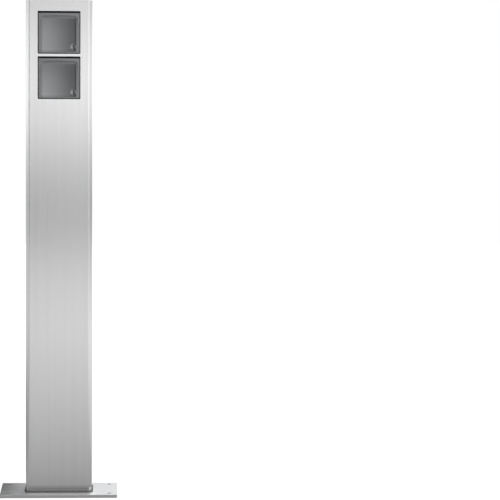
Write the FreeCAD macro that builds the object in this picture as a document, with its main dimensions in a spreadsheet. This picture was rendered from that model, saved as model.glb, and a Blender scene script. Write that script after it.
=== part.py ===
"""Garden socket post: a stainless steel post with two sockets under hinged lids.

Millimetres. +Z is up, the front faces -Y and +X is to the right. The origin is the
middle of the underside of the base plate.
"""
import FreeCAD, Part
import math
import os

import Sketcher

doc = FreeCAD.newDocument("GardenSocketPost")
Vector = FreeCAD.Vector
subparts = []

# Driving dimensions: name, millimetres, meaning.
SIZES = [
    ("post_width", 104, "outside width of the tube"),
    ("post_depth", 65, "outside depth of the tube"),
    ("tube_tall", 778, "length of the tube"),
    ("sheet_thick", 2, "wall of the tube"),
    ("bend_radius", 6, "outside radius of the upright corners"),
    ("cap_thick", 2, "top plate of the cap"),
    ("cap_edge", 0.8, "rounding of the cap's top edge"),
    ("skirt_tall", 5, "how far the cap reaches down inside the tube"),
    ("skirt_thick", 1.5, "wall of the cap's skirt"),
    ("slide_gap", 0.2, "clearance of pieces that slide together"),
    ("plate_width", 185, "base plate, left to right"),
    ("plate_depth", 120, "base plate, front to back"),
    ("plate_thick", 5, "base plate thickness"),
    ("plate_corner", 3, "radius of the base plate's corners"),
    ("plate_edge", 0.6, "bevel along the base plate's top edge"),
    ("anchor_side_inset", 12.5, "anchor hole to the plate's left or right edge"),
    ("anchor_end_inset", 16, "anchor hole to the plate's front or back edge"),
    ("anchor_radius", 3.3, "anchor hole radius"),
    ("cable_hole_radius", 20, "hole in the base plate for the supply cable"),
    ("grommet_bore", 12, "radius of the way through the cable grommet"),
    ("grommet_lip", 4, "grommet's rim over the base plate"),
    ("grommet_rim", 2, "thickness of that rim"),
    ("weld_leg", 2.5, "leg of the weld bead at the foot"),
    ("opening_side", 67, "square opening for a lid"),
    ("opening_corner", 1.2, "corner radius of that opening"),
    ("opening_bar", 4, "bar of sheet between the two openings"),
    ("opening_margin", 18.7, "top of the cap to the upper opening"),
    ("service_wide", 82, "service opening at the back"),
    ("service_tall", 190, "its height"),
    ("service_margin", 17, "top of the cap to the service opening"),
    ("service_corner", 4, "its corner radius"),
    ("cover_lap_side", 4.5, "service cover beyond the opening, each side"),
    ("cover_lap_end", 11, "service cover beyond the opening, top and bottom"),
    ("cover_corner", 6, "its corner radius"),
    ("cover_edge", 0.4, "rounding of its outer edges"),
    ("cover_thick", 1.5, "service cover sheet"),
    ("back_gasket_thick", 1.5, "gasket under the service cover"),
    ("cover_screw_across", 60, "service cover screws, left to right"),
    ("cover_screw_inset", 6, "screw to the cover's top or bottom edge"),
    ("cover_screw_head", 3.8, "its head radius"),
    ("cover_screw_head_tall", 2.4, "its domed head"),
    ("cover_screw_crown", 2.3, "flat top of the dome, radius"),
    ("cover_screw_shoulder", 1.2, "height of the dome's widest part"),
    ("cover_screw_long", 9, "its shank"),
    ("rivet_radius", 2.95, "rivet nut barrel"),
    ("rivet_head", 4.2, "rivet nut head radius"),
    ("rivet_head_thick", 0.8, "rivet nut head thickness"),
    ("rivet_long", 9, "rivet nut barrel length"),
    ("front_gasket_thick", 1, "gasket between the front sheet and the frame"),
    ("frame_flange_thick", 2.5, "flange of the device frame"),
    ("frame_side_border", 5, "flange beyond the lid pocket's wall, each side"),
    ("frame_end_border", 9, "flange beyond the lid pocket's wall, top and bottom"),
    ("frame_corner", 4, "corner radius of the frame's flange"),
    ("pocket_wall", 2, "outer wall of the lid pockets"),
    ("floor_thick", 2.4, "floor of the lid pockets"),
    ("stud_across", 50, "weld studs of the frame, left to right"),
    ("stud_beyond", 4.3, "weld stud beyond the pocket wall"),
    ("stud_radius", 2, "M4 weld stud and machine screw"),
    ("stud_long", 10, "weld stud length"),
    ("hole_gap", 0.3, "radial clearance of a screw hole"),
    ("nut_side", 7, "M4 nut across the flats"),
    ("nut_thick", 3.2, "M4 nut thickness"),
    ("washer_radius", 4, "M4 washer"),
    ("washer_thick", 0.8, "M4 washer thickness"),
    ("lid_gap", 1.2, "gap round the lid in its opening"),
    ("lid_thick", 7.5, "lid, front to back"),
    ("lid_recess", 0.8, "lid's front behind the sheet's front"),
    ("lid_corner", 1.5, "radius of the lid's free corners"),
    ("lid_edge", 0.5, "rounding of the lid's front edges"),
    ("lid_rim", 2, "flat rim to the left and right of the dish"),
    ("dish_top", 1.2, "hinge axis down to the dish"),
    ("dish_deep", 2.1, "deepest point of the dish below the rim"),
    ("dish_drop", 6, "deepest point below the dish's middle"),
    ("dish_ball", 700, "radius of the ball that the dish's floor is part of"),
    ("dish_sweep", 14, "hollow radius from the floor up to the rim"),
    ("dish_corner", 1, "corner radius of the dish beyond that hollow radius"),
    ("scoop_ball", 18, "radius of the ball that leaves the finger scoop"),
    ("scoop_deep", 2.15, "finger scoop's bottom below the lid's rim"),
    ("scoop_side_inset", 11, "scoop's middle to the lid's right edge"),
    ("scoop_end_inset", 11, "scoop's middle to the lid's lower edge"),
    ("lid_skin", 1.8, "wall behind the deepest part of the dish"),
    ("lid_wall", 2.2, "side walls of the lid"),
    ("hinge_radius", 4.2, "rounded hinge edge of the lid"),
    ("hinge_pin_radius", 1.25, "hinge pin"),
    ("running_gap", 0.05, "radial clearance of a turning fit"),
    ("barrel_gap", 0.7, "hinge edge to the pocket floor"),
    ("seal_inner", 22.4, "lid seal, inner radius"),
    ("seal_outer", 25, "lid seal, outer radius"),
    ("seal_gap", 0.1, "lid seal to the pocket floor when closed"),
    ("notch_wide", 8, "notch in the hinge edge for the spring"),
    ("spring_wire", 0.35, "radius of the lid spring's wire"),
    ("spring_radius", 2.3, "lid spring, middle of the wire"),
    ("spring_pitch", 1.15, "lid spring, one turn to the next"),
    ("spring_turns", 5, "turns of the lid spring"),
    ("spring_leg", 4.4, "leg that rests on the pocket floor"),
    ("well_radius", 20, "round well that takes the plug"),
    ("well_deep", 17.5, "depth of the well"),
    ("well_wall", 2, "wall of the well"),
    ("well_floor", 2.5, "floor of the well"),
    ("well_flange_radius", 27, "flange of the well behind the frame"),
    ("well_flange_thick", 2.5, "its thickness"),
    ("well_chamfer", 0.7, "bevel at the mouth of the well"),
    ("key_wide", 5, "guide rib in the well"),
    ("key_proud", 2.5, "how far a guide rib stands into the well"),
    ("contact_pitch", 19, "pin to pin"),
    ("pin_hole_radius", 2.75, "hole for a plug's pin"),
    ("shutter_radius", 15, "safety shutter disc"),
    ("shutter_thick", 1.6, "its thickness"),
    ("shutter_gap", 0.3, "play of the shutter, each face"),
    ("shutter_hole", 2.85, "pin hole in the shutter"),
    ("shutter_turn", 36, "degrees from closed to open"),
    ("hub_radius", 2.6, "hub that the shutter turns on"),
    ("base_radius", 21.5, "contact base"),
    ("base_deep", 15, "contact base, front to back"),
    ("sleeve_radius", 3.2, "contact sleeve, outside"),
    ("sleeve_bore", 2.4, "contact sleeve, inside"),
    ("sleeve_seat", 0.5, "sleeve's mouth behind the shutter's room"),
    ("terminal_side", 8, "terminal behind a contact, square"),
    ("terminal_deep", 7.6, "terminal, front to back"),
    ("clip_wide", 6, "earth clip strip"),
    ("clip_thick", 0.8, "its thickness"),
    ("clip_reach", 19, "middle of the well to the outside of the clip"),
    ("clip_squeeze", 2.6, "how far the clip leans into the well"),
    ("clip_flare", 1, "how far its free end opens outwards"),
    ("clip_nose", 6.7, "mouth of the well to the clip's narrowest place"),
    ("clip_tip", 2.6, "mouth of the well to the clip's free end"),
    ("clip_play", 0.6, "clearance of the clip's slots at each side"),
    ("ring_wide", 70, "support ring"),
    ("ring_tall", 52, "its height"),
    ("ring_thick", 1.5, "its thickness"),
    ("ring_corner", 8, "its corner radius"),
    ("ring_screw_across", 61, "support ring screws, left to right"),
    ("boss_radius", 3.3, "screw boss on the pocket floor"),
    ("ring_screw_radius", 1.25, "support ring screw"),
    ("ring_screw_head", 3, "its head radius"),
    ("ring_screw_long", 5.2, "its shank"),
    ("centre_screw_radius", 1.4, "centre screw"),
    ("centre_screw_head", 3, "its head radius"),
    ("centre_screw_long", 12, "its shank"),
    ("screw_head_tall", 1.8, "height of the small screw heads"),
    ("clamp_screw_radius", 1.5, "terminal screw"),
    ("clamp_screw_head", 2.2, "its head radius"),
    ("wire_radius", 1.4, "insulated wire"),
    ("wire_entry", 3, "how far a wire goes into a terminal"),
    ("wire_bend", 5, "bend radius of a wire's middle line"),
    ("block_wide", 40, "terminal block body"),
    ("block_foot_wide", 60, "terminal block with its feet"),
    ("block_tall", 18, "its height"),
    ("block_deep", 20, "front to back"),
    ("block_foot_thick", 5, "thickness of its feet"),
    ("block_screw_inset", 4.5, "terminal screw to the block's top or bottom"),
    ("block_screw_long", 5, "shank of the block's terminal screw"),
    ("block_drop", 57, "lower socket's middle to the block's top"),
    ("pole_pitch", 12, "one pole to the next"),
    ("earth_stud_radius", 3, "M6 earth stud"),
    ("earth_stud_long", 16, "its length"),
    ("earth_stud_inset", 18, "earth stud to the tube's left side"),
    ("earth_stud_drop", 27, "below the top of the terminal block"),
    ("earth_nut_side", 10, "M6 nut across the flats"),
    ("earth_nut_thick", 5, "M6 nut thickness"),
    ("earth_washer_radius", 6, "M6 washer"),
    ("earth_washer_thick", 1.2, "M6 washer thickness"),
    ("lug_radius", 5.5, "cable lug's ring"),
    ("lug_thick", 1, "its thickness"),
    ("lug_barrel", 2.3, "outside radius of the lug's barrel"),
    ("lug_long", 15, "stud to the end of the barrel"),
]

# Places worked out from the sizes: name and formula.
PLACES = [
    ("front_y", "-Sizes.post_depth / 2"),
    ("back_y", "Sizes.post_depth / 2"),
    ("wall_y", "front_y + Sizes.sheet_thick"),
    ("frame_y", "wall_y + Sizes.front_gasket_thick"),
    ("flange_y", "frame_y + Sizes.frame_flange_thick"),
    ("hinge_y", "front_y + Sizes.lid_recess + Sizes.hinge_radius"),
    ("floor_y", "hinge_y + Sizes.hinge_radius + Sizes.barrel_gap"),
    ("tube_top", "Sizes.plate_thick + Sizes.tube_tall"),
    ("post_top", "tube_top + Sizes.cap_thick"),
    ("pitch", "Sizes.opening_side + Sizes.opening_bar"),
    ("upper_z", "post_top - Sizes.opening_margin - Sizes.opening_side / 2"),
    ("lower_z", "upper_z - pitch"),
    ("middle_z", "(upper_z + lower_z) / 2"),
    ("service_z", "post_top - Sizes.service_margin - Sizes.service_tall / 2"),
    ("pocket_wide", "Sizes.opening_side + 2 * Sizes.pocket_wall"),
    ("pocket_tall", "pitch + Sizes.opening_side + 2 * Sizes.pocket_wall"),
    ("flange_wide", "pocket_wide + 2 * Sizes.frame_side_border"),
    ("flange_tall", "pocket_tall + 2 * Sizes.frame_end_border"),
    ("stud_up", "pocket_tall / 2 + Sizes.stud_beyond"),
    ("cover_wide", "Sizes.service_wide + 2 * Sizes.cover_lap_side"),
    ("cover_tall", "Sizes.service_tall + 2 * Sizes.cover_lap_end"),
    ("cover_screw_up", "cover_tall / 2 - Sizes.cover_screw_inset"),
    ("cover_y", "back_y + Sizes.back_gasket_thick"),
    ("lid_side", "Sizes.opening_side - 2 * Sizes.lid_gap"),
    ("hinge_up", "Sizes.opening_side / 2 - Sizes.lid_gap - Sizes.hinge_radius"),
    ("lid_drop", "lid_side - Sizes.hinge_radius"),
    ("lid_back", "Sizes.lid_thick - Sizes.hinge_radius"),
    ("dish_wide", "lid_side - 2 * Sizes.lid_rim"),
    ("dish_tall", "lid_drop - Sizes.lid_rim - Sizes.dish_top"),
    ("dish_up", "-(Sizes.dish_top + dish_tall / 2)"),
    ("dish_side_deep", "Sizes.dish_deep - Sizes.dish_ball + sqrt(Sizes.dish_ball ^ 2 - dish_wide ^ 2 / 4)"),
    ("sweep_run", "sqrt(2 * Sizes.dish_sweep * dish_side_deep - dish_side_deep ^ 2)"),
    ("sweep_beyond", "Sizes.dish_sweep - sweep_run"),
    ("seat_y", "Sizes.floor_thick + Sizes.well_flange_thick"),
    ("base_y", "Sizes.well_deep + Sizes.well_floor"),
    ("shutter_room", "Sizes.shutter_thick + 2 * Sizes.shutter_gap"),
    ("base_back", "base_y + Sizes.base_deep"),
    ("wire_y", "base_back + Sizes.clip_thick + Sizes.terminal_side / 2"),
    ("terminal_back", "base_back + Sizes.clip_thick + Sizes.terminal_deep"),
    ("block_top", "lower_z - Sizes.block_drop"),
    ("block_z", "block_top - Sizes.block_tall / 2"),
    ("pole_y", "wall_y + Sizes.block_deep / 2"),
    ("earth_x", "Sizes.earth_stud_inset - Sizes.post_width / 2"),
    ("earth_z", "block_top - Sizes.earth_stud_drop"),
]

SOCKETS = [("upper", "Places.upper_z"), ("lower", "Places.lower_z")]


def add_sheet(name, rows):
    """A spreadsheet with one named value in each row."""
    sheet = doc.addObject("Spreadsheet::Sheet", name)
    for row, (alias, text, *meaning) in enumerate(rows, start=1):
        sheet.set(f"A{row}", alias)
        sheet.set(f"B{row}", text)
        sheet.setAlias(f"B{row}", alias)
        for words in meaning:
            sheet.set(f"C{row}", words)
    return sheet


sizes = add_sheet("Sizes", [(name, str(number), words) for name, number, words in SIZES])
places = add_sheet("Places", [(name, "=" + formula) for name, formula in PLACES])
doc.recompute()


def value(expression):
    """What an expression of the sheets comes to now."""
    result = sizes.evalExpression(expression)
    return float(getattr(result, "Value", result))


def bind(thing, **links):
    """Ties properties of an object to expressions; a double underscore stands for a dot."""
    for name, expression in links.items():
        thing.setExpression(name.replace("__", "."), expression)


def place(thing, across="0", back="0", up="0"):
    """Ties an object's place to three expressions."""
    bind(thing, Placement__Base__x=across, Placement__Base__y=back, Placement__Base__z=up)


def new_body(label, across="0", back="0", up="0"):
    """An empty body for one sub-part."""
    body = doc.addObject("PartDesign::Body", label)
    body.Label = label
    place(body, across, back, up)
    subparts.append(body)
    return body


def origin_feature(body, role):
    """One of the body's own origin planes or axes."""
    return next(f for f in body.Origin.OriginFeatures if f.Role == role)


NORMAL_SIGN = {"XY": 1, "XZ": -1, "YZ": 1}
CLOSE = 1e-4


def new_sketch(body, name, plane, at="0", right="0", up="0"):
    """A sketch across the body's X, Y or Z axis, at a place along it."""
    sketch = body.newObject("Sketcher::SketchObject", name)
    sketch.AttachmentSupport = (origin_feature(body, plane + "_Plane"), [""])
    sketch.MapMode = "FlatFace"
    lift = f"{NORMAL_SIGN[plane]} * ({at})"
    bind(
        sketch,
        AttachmentOffset__Base__x=right,
        AttachmentOffset__Base__y=up,
        AttachmentOffset__Base__z=lift,
    )
    sketch.addProperty("App::PropertyInteger", "NormalSign")
    sketch.NormalSign = NORMAL_SIGN[plane]
    return sketch


def constrain(sketch, kind, *where, to=None):
    """A constraint, tied to an expression where it has a size."""
    if to is None:
        sketch.addConstraint(Sketcher.Constraint(kind, *where))
        return
    index = sketch.addConstraint(Sketcher.Constraint(kind, *where, value(to)))
    sketch.setExpression(f"Constraints[{index}]", to)


def polygon(sketch, corners):
    """A closed outline of straight lines through corners given as expressions."""
    first = sketch.GeometryCount
    points = [Vector(value(right), value(up), 0) for right, up in corners]
    count = len(points)
    for i in range(count):
        sketch.addGeometry(Part.LineSegment(points[i], points[(i + 1) % count]))
    for i, (right, up) in enumerate(corners):
        constrain(sketch, "Coincident", first + i, 2, first + (i + 1) % count, 1)
        constrain(sketch, "DistanceX", -1, 1, first + i, 1, to=right)
        constrain(sketch, "DistanceY", -1, 1, first + i, 1, to=up)


def rectangle(sketch, wide, tall, right="0", up="0"):
    """A rectangle about a point of the sketch."""
    polygon(
        sketch,
        [
            (f"{right} - ({wide}) / 2", f"{up} - ({tall}) / 2"),
            (f"{right} + ({wide}) / 2", f"{up} - ({tall}) / 2"),
            (f"{right} + ({wide}) / 2", f"{up} + ({tall}) / 2"),
            (f"{right} - ({wide}) / 2", f"{up} + ({tall}) / 2"),
        ],
    )


def rounded(sketch, wide, tall, radius):
    """A rectangle with round corners about the sketch's origin."""
    first = sketch.GeometryCount
    half_wide, half_tall, bend = value(wide) / 2, value(tall) / 2, value(radius)
    x, y = half_wide - bend, half_tall - bend
    middles = [(x, -y), (x, y), (-x, y), (-x, -y)]
    sides = [
        ((-x, -half_tall), (x, -half_tall)),
        ((half_wide, -y), (half_wide, y)),
        ((x, half_tall), (-x, half_tall)),
        ((-half_wide, y), (-half_wide, -y)),
    ]
    for i in range(4):
        start, end = sides[i]
        sketch.addGeometry(Part.LineSegment(Vector(*start, 0), Vector(*end, 0)))
        ring = Part.Circle(Vector(*middles[i], 0), Vector(0, 0, 1), bend)
        turn = (i - 1) * math.pi / 2
        sketch.addGeometry(Part.ArcOfCircle(ring, turn, turn + math.pi / 2))
    for i in range(4):
        line, arc, after = first + 2 * i, first + 2 * i + 1, first + (2 * i + 2) % 8
        constrain(sketch, "Tangent", line, 2, arc, 1)
        constrain(sketch, "Tangent", arc, 2, after, 1)
        constrain(sketch, "Vertical" if i % 2 else "Horizontal", line)
    for i in range(1, 4):
        constrain(sketch, "Equal", first + 1, first + 2 * i + 1)
    constrain(sketch, "Radius", first + 1, to=radius)
    constrain(sketch, "DistanceX", first + 6, 1, first + 2, 1, to=wide)
    constrain(sketch, "DistanceY", first, 1, first + 4, 1, to=tall)
    constrain(sketch, "Symmetric", first, 1, first + 4, 1, -1, 1)


def circle(sketch, radius, right="0", up="0"):
    """A circle about a point of the sketch."""
    middle = Vector(value(right), value(up), 0)
    ring = Part.Circle(middle, Vector(0, 0, 1), value(radius))
    index = sketch.addGeometry(ring)
    constrain(sketch, "Radius", index, to=radius)
    constrain(sketch, "DistanceX", -1, 1, index, 3, to=right)
    constrain(sketch, "DistanceY", -1, 1, index, 3, to=up)


def pad(body, sketch, length, towards=1, both_ways=False):
    """Adds a sketch's outline as a solid, along or against its axis."""
    feature = body.newObject("PartDesign::Pad", sketch.Name + "_pad")
    feature.Profile = sketch
    bind(feature, Length=length)
    feature.Reversed = sketch.NormalSign * towards < 0
    if both_ways:
        feature.SideType = "Symmetric"
    doc.recompute()
    return feature


def pocket(body, sketch, length=None, towards=1, both_ways=False):
    """Cuts a sketch's outline away, to a depth or right through."""
    before = body.Shape.Volume
    feature = body.newObject("PartDesign::Pocket", sketch.Name + "_pocket")
    feature.Profile = sketch
    feature.Reversed = sketch.NormalSign * towards > 0
    if both_ways:
        feature.SideType = "Symmetric"
    if length is None:
        feature.Type = "ThroughAll"
    else:
        bind(feature, Length=length)
    doc.recompute()
    if not body.Shape.Volume < before:
        raise RuntimeError(f"{feature.Name} cuts nothing")
    return feature


def revolve(body, sketch, axis="H_Axis", cut=False, turn=None):
    """Turns a sketch's outline round one of the sketch's axes, or by half a turn's size each way."""
    kind = "Groove" if cut else "Revolution"
    feature = body.newObject("PartDesign::" + kind, sketch.Name + "_turned")
    feature.Profile = sketch
    feature.ReferenceAxis = (sketch, [axis])
    feature.Angle = 360
    if turn:
        bind(feature, Angle=turn)
        feature.Midplane = True
    doc.recompute()
    return feature


def soften(body, kind, size, chosen):
    """A fillet or chamfer on the edges that a test picks."""
    tip = body.Tip
    names = [f"Edge{i}" for i, edge in enumerate(tip.Shape.Edges, start=1) if chosen(edge)]
    if not names:
        raise RuntimeError(f"{body.Label}: no edge to soften")
    feature = body.newObject("PartDesign::" + kind, f"{body.Label}_{kind}")
    feature.Base = (tip, names)
    bind(feature, **{"Radius" if kind == "Fillet" else "Size": size})
    doc.recompute()
    return feature


def lies_at(edge, axis, place_along):
    """Whether a whole edge lies at one place along an axis."""
    box = edge.BoundBox
    low, high = getattr(box, axis + "Min"), getattr(box, axis + "Max")
    return abs(low - place_along) < CLOSE and abs(high - place_along) < CLOSE


def group(label, pieces):
    """Several alike solids that share one sub-part."""
    compound = doc.addObject("Part::Compound", label)
    compound.Label = label
    compound.Links = pieces
    subparts.append(compound)
    return compound


def repeat(feature, body, first_row, second_row=None):
    """Repeats a feature once more along one or two of the body's axes: axis and step."""
    pattern = body.newObject("PartDesign::LinearPattern", feature.Name + "_row")
    pattern.Originals = [feature]
    pattern.Direction = (origin_feature(body, first_row[0] + "_Axis"), [""])
    pattern.Occurrences = 2
    bind(pattern, Length=first_row[1])
    if second_row:
        pattern.Direction2 = (origin_feature(body, second_row[0] + "_Axis"), [""])
        pattern.Occurrences2 = 2
        bind(pattern, Length2=second_row[1])
    body.Tip = pattern
    doc.recompute()


def four_circles(sketch, radius, right, up):
    """A circle in each quarter of the sketch."""
    for side in ("-1", "1"):
        for end in ("-1", "1"):
            circle(sketch, radius, f"{side} * ({right})", f"{end} * ({up})")


def two_circles(sketch, radius, right, up="0"):
    """A circle to the left and one to the right."""
    for side in ("-1", "1"):
        circle(sketch, radius, f"{side} * ({right})", up)


def hexagon(sketch, across_flats):
    """A nut's outline."""
    reach = f"({across_flats}) / sqrt(3)"
    polygon(sketch, [(f"{reach} * cos({60 * i} deg)", f"{reach} * sin({60 * i} deg)") for i in range(6)])


def turned_piece(body, name, outline):
    """A solid turned about the body's Y axis; outline points are distance back and radius."""
    sketch = new_sketch(body, name, "YZ")
    polygon(sketch, outline)
    return revolve(body, sketch)


def make_post_tube():
    """The folded and welded tube, with its front, back and rivet holes."""
    body = new_body("post_tube")
    outline = new_sketch(body, "tube_outline", "XY", at="Sizes.plate_thick")
    rounded(outline, "Sizes.post_width", "Sizes.post_depth", "Sizes.bend_radius")
    rounded(
        outline,
        "Sizes.post_width - 2 * Sizes.sheet_thick",
        "Sizes.post_depth - 2 * Sizes.sheet_thick",
        "Sizes.bend_radius - Sizes.sheet_thick",
    )
    pad(body, outline, "Sizes.tube_tall")
    for name, socket_z in SOCKETS:
        window = new_sketch(body, name + "_window", "XZ", up=socket_z)
        rounded(window, "Sizes.opening_side", "Sizes.opening_side", "Sizes.opening_corner")
        pocket(body, window, towards=-1)
    hatch = new_sketch(body, "service_hatch", "XZ", up="Places.service_z")
    rounded(hatch, "Sizes.service_wide", "Sizes.service_tall", "Sizes.service_corner")
    pocket(body, hatch)
    rivets = new_sketch(body, "rivet_holes", "XZ", up="Places.service_z")
    four_circles(
        rivets,
        "Sizes.rivet_radius + Sizes.running_gap",
        "Sizes.cover_screw_across / 2",
        "Places.cover_screw_up",
    )
    pocket(body, rivets)


def make_top_cap():
    """The welded-on lid of the tube, with a skirt that centres it."""
    body = new_body("top_cap")
    plate = new_sketch(body, "cap_plate", "XY", at="Places.tube_top")
    rounded(plate, "Sizes.post_width", "Sizes.post_depth", "Sizes.bend_radius")
    pad(body, plate, "Sizes.cap_thick")
    top = value("Places.post_top")
    soften(body, "Fillet", "Sizes.cap_edge", lambda edge: lies_at(edge, "Z", top))
    skirt = new_sketch(body, "cap_skirt", "XY", at="Places.tube_top")
    inset = "Sizes.sheet_thick + Sizes.slide_gap"
    for step in (inset, inset + " + Sizes.skirt_thick"):
        rounded(
            skirt,
            f"Sizes.post_width - 2 * ({step})",
            f"Sizes.post_depth - 2 * ({step})",
            f"Sizes.bend_radius - ({step})",
        )
    pad(body, skirt, "Sizes.skirt_tall", towards=-1)


def make_foot_weld():
    """The weld bead between the tube and the base plate."""
    body = new_body("foot_weld")
    bead = new_sketch(body, "bead_outline", "XY", at="Sizes.plate_thick")
    rounded(
        bead,
        "Sizes.post_width + 2 * Sizes.weld_leg",
        "Sizes.post_depth + 2 * Sizes.weld_leg",
        "Sizes.bend_radius + Sizes.weld_leg",
    )
    pad(body, bead, "Sizes.weld_leg")
    top = value("Sizes.plate_thick + Sizes.weld_leg")
    soften(body, "Chamfer", "Sizes.weld_leg - Sizes.slide_gap", lambda edge: lies_at(edge, "Z", top))
    inside = new_sketch(body, "bead_inside", "XY", at="Sizes.plate_thick")
    rounded(inside, "Sizes.post_width", "Sizes.post_depth", "Sizes.bend_radius")
    pocket(body, inside)


def make_base_plate():
    """The foot plate with four anchor holes and the cable hole."""
    body = new_body("base_plate")
    outline = new_sketch(body, "plate_outline", "XY")
    rounded(outline, "Sizes.plate_width", "Sizes.plate_depth", "Sizes.plate_corner")
    pad(body, outline, "Sizes.plate_thick")
    top = value("Sizes.plate_thick")
    soften(body, "Chamfer", "Sizes.plate_edge", lambda edge: lies_at(edge, "Z", top))
    holes = new_sketch(body, "plate_holes", "XY")
    across = "Sizes.plate_width / 2 - Sizes.anchor_side_inset"
    back = "Sizes.plate_depth / 2 - Sizes.anchor_end_inset"
    four_circles(holes, "Sizes.anchor_radius", across, back)
    circle(holes, "Sizes.cable_hole_radius")
    pocket(body, holes)


def make_cable_grommet():
    """The rubber bush in the base plate's cable hole."""
    body = new_body("cable_grommet")
    profile = new_sketch(body, "grommet_profile", "XZ")
    seat = "Sizes.cable_hole_radius - Sizes.slide_gap"
    rim = "Sizes.cable_hole_radius + Sizes.grommet_lip"
    rim_top = "Sizes.plate_thick + Sizes.grommet_rim"
    polygon(
        profile,
        [
            ("Sizes.grommet_bore", "0"),
            (seat, "0"),
            (seat, "Sizes.plate_thick"),
            (rim, "Sizes.plate_thick"),
            (rim, rim_top),
            ("Sizes.grommet_bore", rim_top),
        ],
    )
    revolve(body, profile, "V_Axis")


def make_service_cover():
    """The cover of the back opening with its gasket, screws and rivet nuts."""
    gasket = new_body("service_gasket", back="Places.back_y", up="Places.service_z")
    outline = new_sketch(gasket, "gasket_outline", "XZ")
    rounded(outline, "Places.cover_wide", "Places.cover_tall", "Sizes.cover_corner")
    rounded(outline, "Sizes.service_wide", "Sizes.service_tall", "Sizes.service_corner")
    across, up = "Sizes.cover_screw_across / 2", "Places.cover_screw_up"
    four_circles(outline, "Sizes.rivet_head + Sizes.hole_gap", across, up)
    pad(gasket, outline, "Sizes.back_gasket_thick")

    cover = new_body("service_cover", back="Places.cover_y", up="Places.service_z")
    sheet = new_sketch(cover, "cover_outline", "XZ")
    rounded(sheet, "Places.cover_wide", "Places.cover_tall", "Sizes.cover_corner")
    pad(cover, sheet, "Sizes.cover_thick")
    outside = value("Sizes.cover_thick")
    soften(cover, "Fillet", "Sizes.cover_edge", lambda edge: lies_at(edge, "Y", outside))
    holes = new_sketch(cover, "cover_holes", "XZ")
    four_circles(holes, "Sizes.stud_radius + Sizes.hole_gap", across, up)
    pocket(cover, holes)

    corner = {"across": f"-{across}", "up": f"Places.service_z - {up}"}
    rows = (("X", "Sizes.cover_screw_across"), ("Z", f"2 * {up}"))
    nuts = new_body("rivet_nuts", back="Places.back_y", **corner)
    bore = "Sizes.stud_radius + Sizes.running_gap"
    nut = turned_piece(
        nuts,
        "rivet_profile",
        [
            ("Sizes.rivet_head_thick", bore),
            ("Sizes.rivet_head_thick", "Sizes.rivet_head"),
            ("0", "Sizes.rivet_head"),
            ("0", "Sizes.rivet_radius"),
            ("-Sizes.rivet_long", "Sizes.rivet_radius"),
            ("-Sizes.rivet_long", bore),
        ],
    )
    repeat(nut, nuts, *rows)

    screws = new_body("service_screws", back="Places.cover_y + Sizes.cover_thick", **corner)
    screw = turned_piece(
        screws,
        "cover_screw_profile",
        [
            ("Sizes.cover_screw_head_tall", "0"),
            ("Sizes.cover_screw_head_tall", "Sizes.cover_screw_crown"),
            ("Sizes.cover_screw_shoulder", "Sizes.cover_screw_head"),
            ("0", "Sizes.cover_screw_head"),
            ("0", "Sizes.stud_radius"),
            ("-Sizes.cover_screw_long", "Sizes.stud_radius"),
            ("-Sizes.cover_screw_long", "0"),
        ],
    )
    repeat(screw, screws, *rows)


def make_device_frame():
    """The moulded frame behind the front sheet, with a pocket for each lid."""
    body = new_body("device_frame", back="Places.frame_y", up="Places.middle_z")
    flange = new_sketch(body, "frame_flange", "XZ")
    rounded(flange, "Places.flange_wide", "Places.flange_tall", "Sizes.frame_corner")
    pad(body, flange, "Sizes.frame_flange_thick")
    block = new_sketch(body, "pocket_block", "XZ")
    rectangle(block, "Places.pocket_wide", "Places.pocket_tall")
    pad(body, block, "Places.floor_y + Sizes.floor_thick - Places.frame_y")
    pockets = new_sketch(body, "lid_pockets", "XZ")
    for end in ("-1", "1"):
        rectangle(pockets, "Sizes.opening_side", "Sizes.opening_side", up=f"{end} * Places.pitch / 2")
    pocket(body, pockets, "Places.floor_y - Places.frame_y")
    floor_back = "Places.floor_y + Sizes.floor_thick - Places.frame_y"
    bosses = new_sketch(body, "screw_bosses", "XZ", at=floor_back)
    four_circles(bosses, "Sizes.boss_radius", "Sizes.ring_screw_across / 2", "Places.pitch / 2")
    pad(body, bosses, "Sizes.well_flange_thick")
    pilots = new_sketch(body, "pilot_holes", "XZ", at=floor_back + " + Sizes.well_flange_thick")
    pilot = "Sizes.ring_screw_radius + Sizes.running_gap"
    four_circles(pilots, pilot, "Sizes.ring_screw_across / 2", "Places.pitch / 2")
    pocket(body, pilots, "Sizes.ring_screw_long - Sizes.ring_thick + Sizes.hole_gap", towards=-1)
    wells = new_sketch(body, "well_holes", "XZ")
    for end in ("-1", "1"):
        well = "Sizes.well_radius + Sizes.well_wall + Sizes.slide_gap"
        circle(wells, well, up=f"{end} * Places.pitch / 2")
    pocket(body, wells)
    studs = new_sketch(body, "stud_holes", "XZ")
    four_circles(studs, "Sizes.stud_radius + Sizes.hole_gap", "Sizes.stud_across / 2", "Places.stud_up")
    pocket(body, studs)
    pins = new_sketch(body, "pin_holes", "YZ", right="Places.hinge_y - Places.frame_y")
    for end in ("-1", "1"):
        pin = "Sizes.hinge_pin_radius + Sizes.running_gap"
        circle(pins, pin, up=f"{end} * Places.pitch / 2 + Places.hinge_up")
    pocket(body, pins, both_ways=True)


def make_front_gasket():
    """The gasket that keeps rain out between the sheet and the frame."""
    body = new_body("front_gasket", back="Places.wall_y", up="Places.middle_z")
    outline = new_sketch(body, "front_gasket_outline", "XZ")
    rounded(outline, "Places.flange_wide", "Places.flange_tall", "Sizes.frame_corner")
    window = "Sizes.opening_side + Sizes.opening_bar / 2"
    for end in ("-1", "1"):
        rectangle(outline, window, window, up=f"{end} * Places.pitch / 2")
    four_circles(outline, "Sizes.stud_radius + Sizes.hole_gap", "Sizes.stud_across / 2", "Places.stud_up")
    pad(body, outline, "Sizes.front_gasket_thick")


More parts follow.
